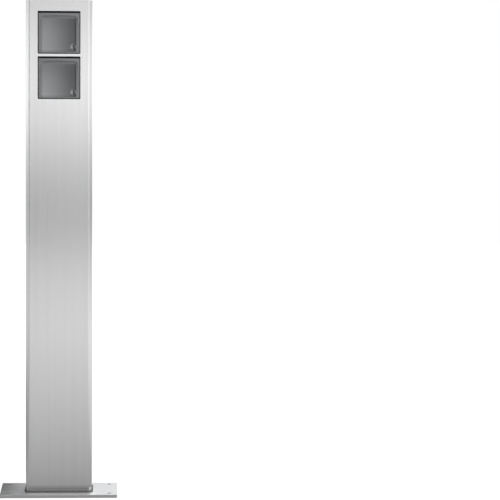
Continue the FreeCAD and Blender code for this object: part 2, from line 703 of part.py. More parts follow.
def make_nuts(label, back, corner, rows, side, thick, radius):
    """A row or a rectangle of nuts on studs."""
    body = new_body(label, back=back, **corner)
    outline = new_sketch(body, label + "_outline", "XZ")
    hexagon(outline, side)
    circle(outline, f"{radius} + Sizes.running_gap")
    nut = pad(body, outline, thick)
    if rows:
        repeat(nut, body, *rows)


def make_washers(label, back, corner, rows, outer, thick, radius):
    """A row or a rectangle of flat washers."""
    body = new_body(label, back=back, **corner)
    outline = new_sketch(body, label + "_outline", "XZ")
    circle(outline, outer)
    circle(outline, f"{radius} + Sizes.hole_gap")
    washer = pad(body, outline, thick)
    repeat(washer, body, *rows)


def make_studs(label, corner, rows, radius, length):
    """Studs welded to the back of the front sheet."""
    body = new_body(label, back="Places.wall_y", **corner)
    outline = new_sketch(body, label + "_outline", "XZ")
    circle(outline, radius)
    stud = pad(body, outline, length)
    if rows:
        repeat(stud, body, *rows)


def make_frame_fixing():
    """Four weld studs with a washer and a nut each hold the frame."""
    corner = {"across": "-Sizes.stud_across / 2", "up": "Places.middle_z - Places.stud_up"}
    rows = (("X", "Sizes.stud_across"), ("Z", "2 * Places.stud_up"))
    make_studs("frame_studs", corner, rows, "Sizes.stud_radius", "Sizes.stud_long")
    make_washers(
        "frame_washers", "Places.flange_y", corner, rows,
        "Sizes.washer_radius", "Sizes.washer_thick", "Sizes.stud_radius",
    )
    make_nuts(
        "frame_nuts", "Places.flange_y + Sizes.washer_thick", corner, rows,
        "Sizes.nut_side", "Sizes.nut_thick", "Sizes.stud_radius",
    )


def lid_profile(sketch):
    """The lid's side view: a slab whose top edge is rounded about the hinge pin."""
    radius, back = value("Sizes.hinge_radius"), value("Places.lid_back")
    drop = value("Places.lid_drop")
    join = -math.sqrt(radius**2 - back**2)
    ring = Part.Circle(Vector(0, 0, 0), Vector(0, 0, 1), radius)
    sketch.addGeometry(Part.ArcOfCircle(ring, math.atan2(join, back), math.pi))
    corners = [(-radius, 0), (-radius, -drop), (back, -drop), (back, join)]
    for start, end in zip(corners, corners[1:]):
        sketch.addGeometry(Part.LineSegment(Vector(*start, 0), Vector(*end, 0)))
    constrain(sketch, "Coincident", 0, 3, -1, 1)
    constrain(sketch, "Tangent", 0, 2, 1, 1)
    constrain(sketch, "Coincident", 1, 2, 2, 1)
    constrain(sketch, "Coincident", 2, 2, 3, 1)
    constrain(sketch, "Coincident", 3, 2, 0, 1)
    constrain(sketch, "Vertical", 1)
    constrain(sketch, "Horizontal", 2)
    constrain(sketch, "Vertical", 3)
    constrain(sketch, "Radius", 0, to="Sizes.hinge_radius")
    constrain(sketch, "DistanceY", -1, 1, 1, 2, to="-Places.lid_drop")
    constrain(sketch, "DistanceX", -1, 1, 2, 2, to="Places.lid_back")


def dish_floor(sketch):
    """The floor's side view about the ball's middle: its arc and what lies behind it."""
    ball, reach = value("Sizes.dish_ball"), value("Places.dish_tall")
    outside = "Sizes.dish_ball + Sizes.lid_thick"
    turn = math.asin(reach / ball)
    rim, behind = ball * math.cos(turn), value(outside)
    curve = Part.Circle(Vector(0, 0, 0), Vector(0, 0, 1), ball)
    sketch.addGeometry(Part.ArcOfCircle(curve, -turn, turn))
    corners = [(rim, reach), (behind, reach), (behind, -reach), (rim, -reach)]
    for start, end in zip(corners, corners[1:]):
        sketch.addGeometry(Part.LineSegment(Vector(*start, 0), Vector(*end, 0)))
    for line in range(4):
        constrain(sketch, "Coincident", line, 2, (line + 1) % 4, 1)
    constrain(sketch, "Coincident", 0, 3, -1, 1)
    constrain(sketch, "Horizontal", 1)
    constrain(sketch, "Vertical", 2)
    constrain(sketch, "Horizontal", 3)
    constrain(sketch, "Radius", 0, to="Sizes.dish_ball")
    constrain(sketch, "DistanceX", -1, 1, 2, 1, to=outside)
    constrain(sketch, "DistanceY", -1, 1, 2, 1, to="Places.dish_tall")
    constrain(sketch, "DistanceY", 2, 2, -1, 1, to="Places.dish_tall")


def make_dish_tool(name):
    """What the dish takes out of a lid: its floor is part of a ball and sweeps up all round."""
    tool = doc.addObject("PartDesign::Body", name + "_dish_tool")
    front = "(Sizes.hinge_radius + 2 * Sizes.dish_sweep)"
    behind = "Sizes.dish_deep + Sizes.lid_skin - Sizes.hinge_radius"
    outline = new_sketch(tool, name + "_dish_outline", "XZ", at=behind, up="Places.dish_up")
    wide, tall = "Places.dish_wide", "Places.dish_tall"
    beyond, bend = "2 * Places.sweep_beyond", "Sizes.dish_sweep + Sizes.dish_corner"
    rounded(outline, f"{wide} + {beyond}", f"{tall} + {beyond}", bend)
    pad(tool, outline, f"{front} + {behind}", towards=-1)

    ball_middle = "Sizes.dish_deep - Sizes.hinge_radius - Sizes.dish_ball"
    lowest = "Places.dish_up - Sizes.dish_drop"
    floor = new_sketch(tool, name + "_dish_floor", "YZ", right=ball_middle, up=lowest)
    dish_floor(floor)
    revolve(tool, floor, "V_Axis", cut=True, turn="2 * asin(Places.dish_wide / Sizes.dish_ball)")

    def floor_edge(edge):
        upright = edge.BoundBox.XLength + edge.BoundBox.ZLength < CLOSE
        return not upright and not lies_at(edge, "Y", -value(front))

    soften(tool, "Fillet", "Sizes.dish_sweep", floor_edge)
    return tool


def make_lid(name, socket_z):
    """A dished lid, hollow behind, that turns about its rounded top edge."""
    body = new_body(name + "_lid", back="Places.hinge_y", up=f"{socket_z} + Places.hinge_up")
    side_view = new_sketch(body, name + "_lid_profile", "YZ")
    lid_profile(side_view)
    pad(body, side_view, "Places.lid_side", both_ways=True)

    front = -value("Sizes.hinge_radius")
    bottom = -value("Places.lid_drop")
    depth = value("Sizes.lid_thick")

    def free_corner(edge):
        return lies_at(edge, "Z", bottom) and abs(edge.BoundBox.YLength - depth) < CLOSE

    soften(body, "Fillet", "Sizes.lid_corner", free_corner)
    soften(body, "Fillet", "Sizes.lid_edge", lambda edge: lies_at(edge, "Y", front))

    dish = body.newObject("PartDesign::Boolean", name + "_dish")
    dish.Type = "Cut"
    dish.setObjects([make_dish_tool(name)])
    doc.recompute()
    scoop = body.newObject("PartDesign::SubtractiveSphere", name + "_scoop")
    bind(scoop, Radius="Sizes.scoop_ball")
    place(
        scoop,
        "Places.lid_side / 2 - Sizes.scoop_side_inset",
        "Sizes.scoop_deep - Sizes.hinge_radius - Sizes.scoop_ball",
        "Sizes.scoop_end_inset - Places.lid_drop",
    )
    doc.recompute()

    hollow_deep = "Sizes.lid_thick - Sizes.dish_deep - Sizes.lid_skin"
    hollow = new_sketch(body, name + "_lid_hollow", "XZ", at="Places.lid_back")
    wall = "Places.lid_side / 2 - Sizes.lid_wall"
    low = "-(Places.lid_drop - Sizes.lid_wall)"
    high = "-(Sizes.hinge_radius + Sizes.lid_edge)"
    polygon(hollow, [(f"-({wall})", low), (wall, low), (wall, high), (f"-({wall})", high)])
    pocket(body, hollow, hollow_deep, towards=-1)
    rib = new_sketch(body, name + "_seal_rib", "XZ", at="Places.lid_back", up="-Places.hinge_up")
    circle(rib, "Sizes.seal_outer")
    circle(rib, "Sizes.seal_inner")
    pad(body, rib, hollow_deep, towards=-1)

    notch_front = "Sizes.spring_radius + Sizes.spring_wire + Sizes.hole_gap"
    notch = new_sketch(body, name + "_spring_notch", "XZ", at=f"-({notch_front})")
    left = "Places.lid_side / 2 - Sizes.notch_wide"
    right = "Places.lid_side / 2 + Sizes.lid_gap"
    low, high = f"-({notch_front})", "Sizes.hinge_radius + Sizes.lid_gap"
    polygon(notch, [(left, low), (right, low), (right, high), (left, high)])
    pocket(body, notch)
    bore = new_sketch(body, name + "_pin_bore", "YZ")
    circle(bore, "Sizes.hinge_pin_radius + Sizes.running_gap")
    pocket(body, bore, both_ways=True)

    seal_y = "Places.hinge_y + Places.lid_back"
    seal = new_body(name + "_lid_seal", back=seal_y, up=socket_z)
    ring = new_sketch(seal, name + "_seal_ring", "XZ")
    circle(ring, "Sizes.seal_outer")
    circle(ring, "Sizes.seal_inner")
    pad(seal, ring, "Sizes.hinge_radius + Sizes.barrel_gap - Places.lid_back - Sizes.seal_gap")

    pin = new_body(name + "_hinge_pin", back="Places.hinge_y", up=f"{socket_z} + Places.hinge_up")
    section = new_sketch(pin, name + "_pin_section", "YZ")
    circle(section, "Sizes.hinge_pin_radius")
    pad(pin, section, "Places.pocket_wide", both_ways=True)


def make_socket(name, socket_z):
    """The round well with what lies behind it, from the pocket's floor to the terminals."""
    seat = {"back": "Places.floor_y", "up": socket_z}
    outer = "Sizes.well_radius + Sizes.well_wall"
    pins = "Sizes.contact_pitch / 2"

    well = new_body(name + "_socket_well", **seat)
    turned_piece(
        well,
        name + "_well_profile",
        [
            ("0", "Sizes.well_radius + Sizes.well_chamfer"),
            ("0", outer),
            ("Sizes.floor_thick", outer),
            ("Sizes.floor_thick", "Sizes.well_flange_radius"),
            ("Places.seat_y", "Sizes.well_flange_radius"),
            ("Places.seat_y", outer),
            ("Places.base_y", outer),
            ("Places.base_y", "0"),
            ("Sizes.well_deep", "0"),
            ("Sizes.well_deep", "Sizes.well_radius"),
            ("Sizes.well_chamfer", "Sizes.well_radius"),
        ],
    )
    keys = new_sketch(well, name + "_guide_ribs", "XZ", at="2 * Sizes.well_chamfer")
    inner = "Sizes.well_radius - Sizes.key_proud"
    middle = f"({inner} + {outer}) / 2"
    for side in ("-1", "1"):
        key_deep = f"{outer} - ({inner}) - Sizes.slide_gap"
        rectangle(keys, key_deep, "Sizes.key_wide", right=f"{side} * ({middle})")
    pad(well, keys, "Sizes.well_deep - Sizes.well_chamfer")
    holes = new_sketch(well, name + "_well_holes", "XZ")
    two_circles(holes, "Sizes.pin_hole_radius", pins)
    circle(holes, "Sizes.centre_screw_radius + Sizes.hole_gap")
    slot_up = "Sizes.clip_reach - Sizes.clip_thick / 2"
    slot_wide = "Sizes.clip_wide + 2 * Sizes.clip_play"
    slot_tall = "Sizes.clip_thick + 2 * Sizes.hole_gap"
    for end in ("-1", "1"):
        rectangle(holes, slot_wide, slot_tall, up=f"{end} * ({slot_up})")
    pocket(well, holes)
    head = new_sketch(well, name + "_screw_seat", "XZ", at="Sizes.well_deep")
    circle(head, "Sizes.centre_screw_head + Sizes.slide_gap")
    pocket(well, head, "Sizes.screw_head_tall")

    shutter_y = "Places.base_y + Sizes.shutter_gap"
    shutter = new_body(name + "_shutter", back=f"Places.floor_y + {shutter_y}", up=socket_z)
    disc = new_sketch(shutter, name + "_shutter_disc", "XZ")
    circle(disc, "Sizes.shutter_radius")
    circle(disc, "Sizes.hub_radius + Sizes.running_gap")
    for side in ("-1", "1"):
        right = f"{side} * {pins} * cos(Sizes.shutter_turn * 1 deg)"
        up = f"{side} * {pins} * sin(Sizes.shutter_turn * 1 deg)"
        circle(disc, "Sizes.shutter_hole", right, up)
    pad(shutter, disc, "Sizes.shutter_thick")

    base = new_body(name + "_contact_base", **seat)
    block = new_sketch(base, name + "_base_disc", "XZ", at="Places.base_y")
    circle(block, "Sizes.base_radius")
    pad(base, block, "Sizes.base_deep")
    room = new_sketch(base, name + "_shutter_room", "XZ", at="Places.base_y")
    circle(room, "Sizes.shutter_radius + Sizes.shutter_gap")
    circle(room, "Sizes.hub_radius")
    pocket(base, room, "Places.shutter_room")
    bores = new_sketch(base, name + "_base_bores", "XZ")
    two_circles(bores, "Sizes.sleeve_radius + Sizes.running_gap", pins)
    for end in ("-1", "1"):
        rectangle(bores, slot_wide, slot_tall, up=f"{end} * ({slot_up})")
    pocket(base, bores)
    pilot = new_sketch(base, name + "_base_pilot", "XZ")
    circle(pilot, "Sizes.centre_screw_radius + Sizes.running_gap")
    pocket(base, pilot)

    make_contacts(name, seat, pins)
    make_earth_clip(name, seat)
    make_socket_fixing(name, socket_z, outer)


def make_contacts(name, seat, pins):
    """Two brass sleeves, each with a square terminal behind it."""
    body = new_body(name + "_contacts", **seat)
    mouth = "Places.base_y + Places.shutter_room + Sizes.sleeve_seat"
    sleeve = new_sketch(body, name + "_sleeves", "XZ", at=mouth)
    two_circles(sleeve, "Sizes.sleeve_radius", pins)
    pad(body, sleeve, "Sizes.base_deep - Places.shutter_room - Sizes.sleeve_seat + Sizes.clip_thick")
    terminal = new_sketch(body, name + "_terminals", "XZ", at="Places.base_back")
    for side in ("-1", "1"):
        rectangle(terminal, "Sizes.terminal_side", "Sizes.terminal_side", right=f"{side} * {pins}")
    pad(body, terminal, "Sizes.clip_thick + Sizes.terminal_deep")
    bores = new_sketch(body, name + "_sleeve_bores", "XZ")
    two_circles(bores, "Sizes.sleeve_bore", pins)
    pocket(body, bores, "Places.base_back")
    ways = new_sketch(body, name + "_wire_ways", "XY")
    for side in ("-1", "1"):
        circle(ways, "Sizes.wire_radius + Sizes.slide_gap", f"{side} * {pins}", "Places.wire_y")
    pocket(body, ways, both_ways=True)
    clamps = new_sketch(body, name + "_clamp_holes", "XZ", at="Places.terminal_back")
    two_circles(clamps, "Sizes.clamp_screw_radius + Sizes.running_gap", pins)
    pocket(body, clamps, "Places.terminal_back - Places.wire_y", towards=-1)


def make_earth_clip(name, seat):
    """The bent strip that earths the plug at top and bottom, with its own terminal."""
    body = new_body(name + "_earth_clip", **seat)
    strip = new_sketch(body, name + "_clip_strip", "YZ")
    outer, inner = "Sizes.clip_reach", "Sizes.clip_reach - Sizes.clip_thick"
    bend = "Sizes.well_deep - Sizes.clip_thick"
    nose, tip = "Sizes.clip_nose", "Sizes.clip_tip"
    lean, flare = "Sizes.clip_squeeze", "(Sizes.clip_squeeze - Sizes.clip_flare)"
    arm = [
        ("Places.base_back + Sizes.clip_thick", outer),
        (bend, outer),
        (nose, f"{outer} - {lean}"),
        (tip, f"{outer} - {flare}"),
        (tip, f"{inner} - {flare}"),
        (nose, f"{inner} - {lean}"),
        (bend, inner),
        ("Places.base_back", inner),
    ]
    polygon(strip, arm + [(back, f"-({reach})") for back, reach in reversed(arm)])
    pad(body, strip, "Sizes.clip_wide", both_ways=True)
    terminal = new_sketch(body, name + "_earth_terminal", "XZ", at="Places.base_back")
    rectangle(terminal, "Sizes.terminal_side", "Sizes.terminal_side")
    pad(body, terminal, "Sizes.clip_thick + Sizes.terminal_deep")
    way = new_sketch(body, name + "_earth_way", "XY")
    circle(way, "Sizes.wire_radius + Sizes.slide_gap", up="Places.wire_y")
    pocket(body, way, both_ways=True)
    clamp = new_sketch(body, name + "_earth_clamp_hole", "XZ", at="Places.terminal_back")
    circle(clamp, "Sizes.clamp_screw_radius + Sizes.running_gap")
    pocket(body, clamp, "Places.terminal_back - Places.wire_y", towards=-1)


def screw_outline(head, shank, length):
    """Half a screw: the head behind its seat, the shank in front of it."""
    head_tall, end = "Sizes.screw_head_tall", f"-({length})"
    return [(head_tall, "0"), (head_tall, head), ("0", head), ("0", shank), (end, shank), (end, "0")]


def make_socket_fixing(name, socket_z, outer):
    """The support ring and the screws of one socket."""
    ring = new_body(name + "_support_ring", back="Places.floor_y + Places.seat_y", up=socket_z)
    outline = new_sketch(ring, name + "_ring_outline", "XZ")
    rounded(outline, "Sizes.ring_wide", "Sizes.ring_tall", "Sizes.ring_corner")
    circle(outline, f"{outer} + Sizes.slide_gap")
    two_circles(outline, "Sizes.ring_screw_radius + Sizes.hole_gap", "Sizes.ring_screw_across / 2")
    pad(ring, outline, "Sizes.ring_thick")

    screws = new_body(
        name + "_ring_screws",
        "-Sizes.ring_screw_across / 2",
        "Places.floor_y + Places.seat_y + Sizes.ring_thick",
        socket_z,
    )
    screw = turned_piece(
        screws,
        name + "_ring_screw_profile",
        screw_outline("Sizes.ring_screw_head", "Sizes.ring_screw_radius", "Sizes.ring_screw_long"),
    )
    repeat(screw, screws, ("X", "Sizes.ring_screw_across"))

    centre = new_body(name + "_centre_screw", back="Places.floor_y + Sizes.well_deep", up=socket_z)
    head_tall = "Sizes.screw_head_tall"
    turned_piece(
        centre,
        name + "_centre_screw_profile",
        [
            ("Sizes.slide_gap", "0"),
            ("Sizes.slide_gap", "Sizes.centre_screw_head"),
            (head_tall, "Sizes.centre_screw_head"),
            (head_tall, "Sizes.centre_screw_radius"),
            (f"{head_tall} + Sizes.centre_screw_long", "Sizes.centre_screw_radius"),
            (f"{head_tall} + Sizes.centre_screw_long", "0"),
        ],
    )

    clamps = new_body(
        name + "_terminal_screws",
        "-Sizes.contact_pitch / 2",
        "Places.floor_y + Places.terminal_back",
        socket_z,
    )
    reach = "Places.terminal_back - Places.wire_y - Sizes.wire_radius - Sizes.running_gap"
    clamp = turned_piece(
        clamps,
        name + "_clamp_profile",
        screw_outline("Sizes.clamp_screw_head", "Sizes.clamp_screw_radius", reach),
    )
    repeat(clamp, clamps, ("X", "Sizes.contact_pitch / 2"))
    clamps.Tip.Occurrences = 3
    bind(clamps.Tip, Length="Sizes.contact_pitch")


def make_terminal_block():
    """The three-pole block below the sockets, with its screws, studs and nuts."""
    body = new_body("terminal_block", back="Places.wall_y", up="Places.block_z")
    outline = new_sketch(body, "block_outline", "XY")
    foot, half = "Sizes.block_foot_wide / 2", "Sizes.block_wide / 2"
    step, deep = "Sizes.block_foot_thick", "Sizes.block_deep"
    side = [(foot, "0"), (foot, step), (half, step), (half, deep)]
    polygon(outline, side + [(f"-{across}", back) for across, back in reversed(side)])
    pad(body, outline, "Sizes.block_tall", both_ways=True)
    ways = new_sketch(body, "pole_ways", "XY", up="Sizes.block_deep / 2")
    for pole in ("-1", "0", "1"):
        circle(ways, "Sizes.wire_radius + Sizes.slide_gap", f"{pole} * Sizes.pole_pitch")
    pocket(body, ways, both_ways=True)
    clamps = new_sketch(body, "block_clamp_holes", "XZ", at="Sizes.block_deep")
    screw_up = "Sizes.block_tall / 2 - Sizes.block_screw_inset"
    for pole in ("-1", "0", "1"):
        for end in ("-1", "1"):
            across, up = f"{pole} * Sizes.pole_pitch", f"{end} * ({screw_up})"
            circle(clamps, "Sizes.clamp_screw_head + Sizes.slide_gap", across, up)
    pocket(body, clamps, "Sizes.block_deep / 2 - Sizes.wire_radius", towards=-1)
    feet = new_sketch(body, "foot_holes", "XZ")
    foot_across = "(Sizes.block_foot_wide + Sizes.block_wide) / 4"
    two_circles(feet, "Sizes.stud_radius + Sizes.hole_gap", foot_across)
    pocket(body, feet)

    tip = "Sizes.wire_radius + Sizes.slide_gap"
    screws = new_body(
        "block_screws",
        "-Sizes.pole_pitch",
        f"Places.pole_y + {tip} + Sizes.block_screw_long",
        f"Places.block_z - ({screw_up})",
    )
    screw = turned_piece(
        screws,
        "block_screw_profile",
        screw_outline("Sizes.clamp_screw_head", "Sizes.clamp_screw_radius", "Sizes.block_screw_long"),
    )
    repeat(screw, screws, ("X", "2 * Sizes.pole_pitch"), ("Z", f"2 * ({screw_up})"))
    screws.Tip.Occurrences = 3

    corner = {"across": f"-({foot_across})", "up": "Places.block_z"}
    rows = (("X", f"2 * ({foot_across})"),)
    make_studs("block_studs", corner, rows, "Sizes.stud_radius", "Sizes.stud_long")
    make_nuts(
        "block_nuts", "Places.wall_y + Sizes.block_foot_thick", corner, rows,
        "Sizes.nut_side", "Sizes.nut_thick", "Sizes.stud_radius",
    )


def make_earth_point():
    """The earth stud of the post with its washers, nut and cable lug."""
    corner = {"across": "Places.earth_x", "up": "Places.earth_z"}
    make_studs("earth_stud", corner, None, "Sizes.earth_stud_radius", "Sizes.earth_stud_long")
    washer, lug = "Sizes.earth_washer_thick", "Sizes.lug_thick"
    make_washers(
        "earth_washers", "Places.wall_y", corner, (("Y", f"{washer} + {lug}"),),
        "Sizes.earth_washer_radius", washer, "Sizes.earth_stud_radius",
    )
    make_nuts(
        "earth_nut", f"Places.wall_y + 2 * {washer} + {lug}", corner, None,
        "Sizes.earth_nut_side", "Sizes.earth_nut_thick", "Sizes.earth_stud_radius",
    )
    body = new_body("earth_lug", back=f"Places.wall_y + {washer}", **corner)
    ring = new_sketch(body, "lug_ring", "XZ")
    circle(ring, "Sizes.lug_radius")
    pad(body, ring, lug)
    tongue = new_sketch(body, "lug_tongue", "XZ")
    rectangle(tongue, "Sizes.lug_long", "2 * Sizes.lug_barrel", right="Sizes.lug_long / 2")
    pad(body, tongue, lug)
    hole = new_sketch(body, "lug_hole", "XZ")
    circle(hole, "Sizes.earth_stud_radius + Sizes.hole_gap")
    pocket(body, hole)
    barrel = new_sketch(body, "lug_barrel", "YZ", at="Sizes.lug_long / 2", right="Sizes.lug_barrel")
    circle(barrel, "Sizes.lug_barrel")
    pad(body, barrel, "Sizes.lug_long / 2")
    bore = new_sketch(body, "lug_bore", "YZ", at="Sizes.lug_long", right="Sizes.lug_barrel")
    circle(bore, "Sizes.wire_radius + Sizes.slide_gap")
    pocket(body, bore, "Sizes.lug_long / 2", towards=-1)


def tube_along(route, radius):
    """A round tube along straight runs joined by tangent arcs of one bend radius."""
    points, bend = [Vector(*point) for point in route], value("Sizes.wire_bend")
    edges, start = [], points[0]
    for before, corner, after in zip(points, points[1:], points[2:]):
        arriving, leaving = corner - before, after - corner
        turn = arriving.getAngle(leaving)
        reach = bend * math.tan(turn / 2)
        arriving.normalize()
        leaving.normalize()
        enter, leave = corner - arriving * reach, corner + leaving * reach
        inward = leaving - arriving
        inward.normalize()
        middle = corner + inward * (bend / math.cos(turn / 2) - bend)
        edges.append(Part.LineSegment(start, enter).toShape())
        edges.append(Part.Arc(enter, middle, leave).toShape())
        start = leave
    edges.append(Part.LineSegment(start, points[-1]).toShape())
    path = Part.Wire(edges)
    section = Part.Wire(Part.Circle(points[0], points[1] - points[0], radius).toShape())
    tube = path.makePipeShell([section], True, False)
    if abs(tube.Volume / (math.pi * radius**2 * path.Length) - 1) > 0.01:
        raise RuntimeError("a wire's volume is not its section times its length")
    return tube


def add_shape(label, shape, listed=True):
    """A sub-part, or one solid of a group, whose form is worked out here."""
    piece = doc.addObject("Part::Feature", label)
    piece.Label = label
    piece.Shape = shape
    if listed:
        subparts.append(piece)
    return piece


def make_wires():
    """Three wires from the block to the lower socket and on to the upper one, and the bond wire."""
    radius, entry = value("Sizes.wire_radius"), value("Sizes.wire_entry")
    pole_y, wire_y = value("Places.pole_y"), value("Places.floor_y + Places.wire_y")
    block_top, half_terminal = value("Places.block_top"), value("Sizes.terminal_side / 2")
    lower, upper = value("Places.lower_z"), value("Places.upper_z")
    straight = value("Sizes.terminal_side")
    base_radius = value("Sizes.base_radius")
    for side, label in ((-1, "live_wires"), (1, "neutral_wires"), (0, "earth_wires")):
        pole_x, contact_x = side * value("Sizes.pole_pitch"), side * value("Sizes.contact_pitch / 2")
        feed = [
            (pole_x, pole_y, block_top - entry),
            (pole_x, pole_y, block_top + straight),
            (contact_x, wire_y, lower - base_radius - straight),
            (contact_x, wire_y, lower - half_terminal + entry),
        ]
        link = [
            (contact_x, wire_y, lower + half_terminal - entry),
            (contact_x, wire_y, lower + half_terminal + straight),
            (contact_x, wire_y + half_terminal, (lower + upper) / 2),
            (contact_x, wire_y, upper - half_terminal - straight),
            (contact_x, wire_y, upper - half_terminal + entry),
        ]
        pieces = [
            add_shape(f"{label}_{name}", tube_along(route, radius), listed=False)
            for name, route in (("feed", feed), ("link", link))
        ]
        group(label, pieces)
    earth_z = value("Places.earth_z")
    lug_y = value("Places.wall_y + Sizes.earth_washer_thick + Sizes.lug_barrel")
    lug_end = value("Places.earth_x + Sizes.lug_long")
    bond = [
        (0, pole_y, value("Places.block_top - Sizes.block_tall") + entry),
        (0, pole_y, earth_z),
        (lug_end + straight, lug_y, earth_z),
        (lug_end - entry, lug_y, earth_z),
    ]
    add_shape("bond_wire", tube_along(bond, radius))


def make_lid_spring(name, socket_z):
    """A torsion spring round the hinge pin: a leg on the pocket's floor, then its turns."""
    radius, wire = value("Sizes.spring_radius"), value("Sizes.spring_wire")
    pitch, turns = value("Sizes.spring_pitch"), round(value("Sizes.spring_turns"))
    drift = value("Sizes.spring_leg") * pitch / (2 * math.pi * radius)
    start_x = value("Sizes.opening_side / 2 - Sizes.spring_wire - Sizes.slide_gap") - drift

    def on_coil(turn):
        angle = 2 * math.pi * turn
        point = Vector(start_x - pitch * turn, -radius * math.sin(angle), radius * math.cos(angle))
        rise = pitch / (2 * math.pi)
        heading = Vector(-rise, -radius * math.cos(angle), -radius * math.sin(angle))
        heading.normalize()
        return point, heading

    first, heading = on_coil(0)
    leg_end = first - heading * value("Sizes.spring_leg")
    edges = [Part.LineSegment(leg_end, first).toShape()]
    for quarter in range(4 * turns):
        (start, leaving), (end, arriving) = on_coil(quarter / 4), on_coil((quarter + 1) / 4)
        edges.extend(biarc(start, leaving, end, arriving))
    path = Part.Wire(edges)
    section = Part.Wire(Part.Circle(leg_end, heading, wire).toShape())
    spring = path.makePipeShell([section], True, False)
    piece = add_shape(name + "_lid_spring", spring)
    piece.Placement.Base = Vector(0, value("Places.hinge_y"), value(f"{socket_z} + Places.hinge_up"))
    print(f"{name} lid spring: gap between turns {pitch - 2 * wire:.2f} mm")


def biarc(start, leaving, end, arriving):
    """Two tangent arcs from one point and heading to another."""
    chord, headings = end - start, leaving + arriving
    a = 2 - 2 * leaving.dot(arriving)
    b = 2 * chord.dot(headings)
    reach = (math.sqrt(b**2 + 4 * a * chord.dot(chord)) - b) / (2 * a)
    first_corner, second_corner = start + leaving * reach, end - arriving * reach
    joint = (first_corner + second_corner) / 2
    arcs = []
    for begin, corner, finish in ((start, first_corner, joint), (joint, second_corner, end)):
        weight = math.cos((corner - begin).getAngle(finish - begin))
        middle = (begin + corner * (2 * weight) + finish) / (2 + 2 * weight)
        arcs.append(Part.Arc(begin, middle, finish).toShape())
    return arcs


def write_steps():
    """Tests every object and sub-part, then writes one STEP file for each sub-part."""
    doc.recompute()
    for item in doc.Objects:
        if "Invalid" in item.State or "Error" in item.State:
            raise RuntimeError(f"{item.Label} failed: {item.State}")
    for piece in subparts:
        shape = piece.Shape
        if shape.isNull() or not shape.isValid() or not shape.Solids:
            raise RuntimeError(f"{piece.Label} has no valid solid")
    os.makedirs("parts", exist_ok=True)
    for piece in subparts:
        piece.Shape.exportStep(os.path.join("parts", piece.Label + ".step"))
        print(f"{piece.Label}: {len(piece.Shape.Solids)} solids, {piece.Shape.Volume:.1f} mm3")


make_post_tube()
make_top_cap()
make_foot_weld()
make_base_plate()
make_cable_grommet()
make_service_cover()
make_front_gasket()
make_device_frame()
make_frame_fixing()
for socket_name, socket_place in SOCKETS:
    make_lid(socket_name, socket_place)
    make_lid_spring(socket_name, socket_place)
    make_socket(socket_name, socket_place)
make_terminal_block()
make_earth_point()
make_wires()
write_steps()
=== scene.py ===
# %% [markdown]
# # A garden socket post in brushed stainless steel
#
# The real object is a folded steel tube on a foot plate. Two sockets sit near its top,
# each under a hinged plastic lid. The CAD model brings every piece at its real size and
# place, so this lesson works on what the eye sees: surfaces, light and small shapes.

import math

import bpy
from mathutils import Matrix, Vector


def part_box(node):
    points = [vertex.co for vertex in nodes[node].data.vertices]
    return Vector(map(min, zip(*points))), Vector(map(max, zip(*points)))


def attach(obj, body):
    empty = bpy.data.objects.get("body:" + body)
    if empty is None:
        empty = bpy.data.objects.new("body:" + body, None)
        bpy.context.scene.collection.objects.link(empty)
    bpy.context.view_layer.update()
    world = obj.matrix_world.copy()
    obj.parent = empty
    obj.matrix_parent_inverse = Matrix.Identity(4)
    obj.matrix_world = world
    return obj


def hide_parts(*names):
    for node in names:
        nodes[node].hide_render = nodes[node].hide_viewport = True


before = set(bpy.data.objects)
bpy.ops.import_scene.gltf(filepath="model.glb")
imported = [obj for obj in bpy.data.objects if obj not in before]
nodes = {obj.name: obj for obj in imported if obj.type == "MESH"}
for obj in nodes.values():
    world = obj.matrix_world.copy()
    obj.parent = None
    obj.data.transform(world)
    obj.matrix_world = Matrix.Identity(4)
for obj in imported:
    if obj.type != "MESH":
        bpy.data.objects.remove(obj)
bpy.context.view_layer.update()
MM = 0.001

# %% [markdown]
# ## Camera
#
# The photograph was taken from about four metres away with a long lens, level with the
# lower lid and looking slightly down. A long lens keeps the post's edges almost
# parallel. The post stands at the left of the picture, so the camera turns to its right.

# %% Place the camera
CAMERA_PLACE = (0.0756, -4.029, 0.664)
CAMERA_TURN = math.radians(3.243)
CAMERA_TILT = math.radians(3.90)
CAMERA_LEAN = math.radians(0.33)
LENS_MM, SENSOR_MM = 182.25, 36

camera_data = bpy.data.cameras.new("camera")
camera_data.lens = LENS_MM
camera_data.sensor_width = SENSOR_MM
camera = bpy.data.objects.new("camera", camera_data)
bpy.context.scene.collection.objects.link(camera)
camera.matrix_world = (
    Matrix.Translation(CAMERA_PLACE)
    @ Matrix.Rotation(-CAMERA_TURN, 4, "Z")
    @ Matrix.Rotation(math.pi / 2 - CAMERA_TILT, 4, "X")
    @ Matrix.Rotation(CAMERA_LEAN, 4, "Z")
)
bpy.context.scene.camera = camera
bpy.context.scene.view_settings.view_transform = "Standard"
print(f"camera {Vector(CAMERA_PLACE).length:.2f} m from the foot, {LENS_MM} mm lens")

# %% [markdown]
# ## One helper for colours and one for nodes
#
# Colours are written as the hex values that a colour picker shows, and turned to linear
# light once. A node is added with its settings and its links in one call.

# %% Helpers for materials
def linear(hex_colour):
    """The linear colour of an sRGB hex value."""
    channels = [int(hex_colour[i : i + 2], 16) / 255 for i in (1, 3, 5)]
    return [c / 12.92 if c <= 0.04045 else ((c + 0.055) / 1.055) ** 2.4 for c in channels] + [1]


def add_node(tree, kind, links=None, **settings):
    """A node with its settings; links gives each socket a value or another node's socket."""
    node = tree.nodes.new("ShaderNode" + kind)
    for name, setting in settings.items():
        setattr(node, name, setting)
    for socket, given in (links or {}).items():
        if isinstance(given, bpy.types.NodeSocket):
            tree.links.new(given, node.inputs[socket])
        else:
            node.inputs[socket].default_value = given
    return node


